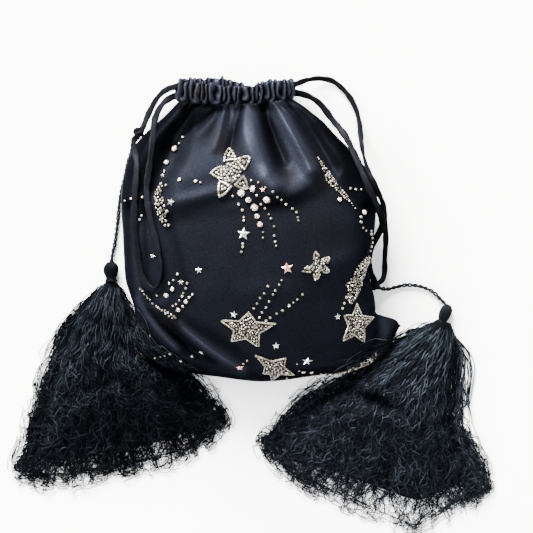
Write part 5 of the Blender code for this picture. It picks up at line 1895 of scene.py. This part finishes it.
class POUCH_OT_tassels(bpy.types.Operator):
    """Makes both tassels: a bound head, a skirt of threads and a curly fringe"""

    bl_idname = "pouch.tassels"
    bl_label = "Tassels"

    def execute(self, context):
        settings = context.scene.pouch_tassel
        # The mass under the loose threads is painted near black: painted shade among the threads
        painted_shade_mass, _shader = new_material("tassel_painted_shade", (0.0005, 0.0006, 0.0009), 0.95,
                                       Specular_IOR_Level=0.02)
        radius = settings.thread_diameter / 2
        for side, seed, rows, tips, creases, head, tone in TASSELS:
            # tone paints one tassel's threads darker and the other's paler: painted shade and
            # painted light on the same thread
            colour = tuple(tone * part for part in settings.thread)
            thread = thread_material(f"tassel_{side}_thread", colour)
            draw = np.random.default_rng(seed)
            points, faces = skirt_core(rows, tips, creases, seed)
            core = new_piece(f"tassel_{side}_mass", points, faces)
            face_outwards(core)
            finish_piece(core, [painted_shade_mass], ["tassel_" + side])
            heights = HeightMap(points, faces)
            paths = curled_threads(rows, tips, heights, draw, settings.threads, LYING_THREADS)
            self.lay_threads(f"tassel_{side}_threads", paths, radius, thread, draw, 1.0)
            fringe = curled_threads(rows, tips, heights, draw, settings.fringe, FRINGE_THREADS)
            strays = curled_threads(rows, tips, heights, draw, settings.strays, STRAY_THREADS)
            paths = np.vstack([fringe, strays])
            self.lay_threads(f"tassel_{side}_fringe", paths, radius * 0.85, thread, draw, 0.8)
            self.bind_head(side, head, thread, draw)
        return {"FINISHED"}

    def lay_threads(self, name, paths, radius, thread, draw, brightness):
        """Many threads in one piece, each with its own tone."""
        made = new_piece(name, *tubes(paths, radius, THREAD_SIDES))
        tones = thread_tones(draw, len(paths)) * brightness
        keep_values(made, "tint", np.repeat(tones, THREAD_SIDES * paths.shape[1]))
        finish_piece(made, [thread])

    def bind_head(self, side, head, thread, draw):
        """Threads over the head's round core, and the binding round its neck."""
        photo_x, photo_y, length, width, angle = head
        angle = math.radians(angle)
        axis = np.array([math.cos(angle), math.sin(angle), 0.0])
        cross = np.array([-axis[1], axis[0], 0.0])
        up = np.array([0.0, 0.0, 1.0])
        centre = np.array([across(photo_x), along(photo_y), width * 0.42])
        centre = centre + HEAD_SHIFT * length * axis
        length = HEAD_STRETCH * length

        def ring(turn):
            return cross * np.cos(turn)[:, None] + up * np.sin(turn)[:, None]

        at = np.linspace(0, 1, 16)
        swell = read_table(HEAD_PROFILE, 1, at) * width
        paths = []
        for turn in np.linspace(0, 2 * np.pi, HEAD_STRANDS + 1)[:-1]:
            wobble = swell * (1 + 0.03 * np.sin(9 * at + 5 * turn))
            middle = centre + axis * ((at - 0.5) * length)[:, None]
            paths.append(middle + ring(turn + 0.35 * (at - 0.5)) * wobble[:, None])
        t = np.linspace(0, 1, 150)
        wrap = centre + axis * ((BINDING_SPAN[0] + BINDING_SPAN[1] * t) * length)[:, None]
        wrap = wrap + ring(2 * np.pi * BINDING_TURNS * t) * width * BINDING_REACH
        strands, binding = np.array(paths), wrap[None]
        for part in (strands, binding):
            part[..., 2] = np.maximum(part[..., 2], 0.0006)
        shapes = [tubes(strands, HEAD_STRAND_RADIUS, 4), tubes(binding, BINDING_RADIUS, 6)]
        made = new_piece(f"tassel_{side}_head", *join_shapes(shapes))
        tints = np.append(draw.uniform(0.2, 0.42, HEAD_STRANDS), 0.3)
        counts = [len(shapes[0][0]) // HEAD_STRANDS] * HEAD_STRANDS + [len(shapes[1][0])]
        keep_values(made, "tint", np.repeat(tints, counts))
        finish_piece(made, [thread])


class POUCH_PT_panel(bpy.types.Panel):
    """The steps and sizes of the pouch"""

    bl_label = "Evening pouch"
    bl_idname = "POUCH_PT_panel"
    bl_space_type = "VIEW_3D"
    bl_region_type = "UI"
    bl_category = "Pouch"

    def draw(self, context):
        for operator in OPERATORS:
            self.layout.operator(operator.bl_idname)
        for name, group in SETTINGS:
            box = self.layout.box()
            for key in group.__annotations__:
                box.prop(getattr(context.scene, name), key)


SETTINGS = (
    ("pouch_satin", SatinSettings),
    ("pouch_trim", TrimSettings),
    ("pouch_tassel", TasselSettings),
    ("pouch_stage", StageSettings),
)
OPERATORS = (
    POUCH_OT_stage,
    POUCH_OT_drawstrings,
    POUCH_OT_tassel_cords,
    POUCH_OT_knots,
    POUCH_OT_bag,
    POUCH_OT_casing,
    POUCH_OT_stars,
    POUCH_OT_trails,
    POUCH_OT_stones,
    POUCH_OT_metal_stars,
    POUCH_OT_tassels,
)


def register():
    for _name, group in SETTINGS:
        bpy.utils.register_class(group)
    for operator in OPERATORS:
        bpy.utils.register_class(operator)
    bpy.utils.register_class(POUCH_PT_panel)
    for name, group in SETTINGS:
        setattr(bpy.types.Scene, name, bpy.props.PointerProperty(type=group))


def unregister():
    for name, _group in SETTINGS:
        delattr(bpy.types.Scene, name)
    bpy.utils.unregister_class(POUCH_PT_panel)
    for operator in reversed(OPERATORS):
        bpy.utils.unregister_class(operator)
    for _name, group in reversed(SETTINGS):
        bpy.utils.unregister_class(group)


def main():
    register()
    bpy.ops.pouch.stage()
    bpy.ops.pouch.drawstrings()
    bpy.ops.pouch.tassel_cords()
    bpy.ops.pouch.knots()
    bpy.ops.pouch.bag()
    bpy.ops.pouch.casing()
    bpy.ops.pouch.stars()
    bpy.ops.pouch.trails()
    bpy.ops.pouch.stones()
    bpy.ops.pouch.metal_stars()
    bpy.ops.pouch.tassels()


if __name__ == "__main__":
    main()
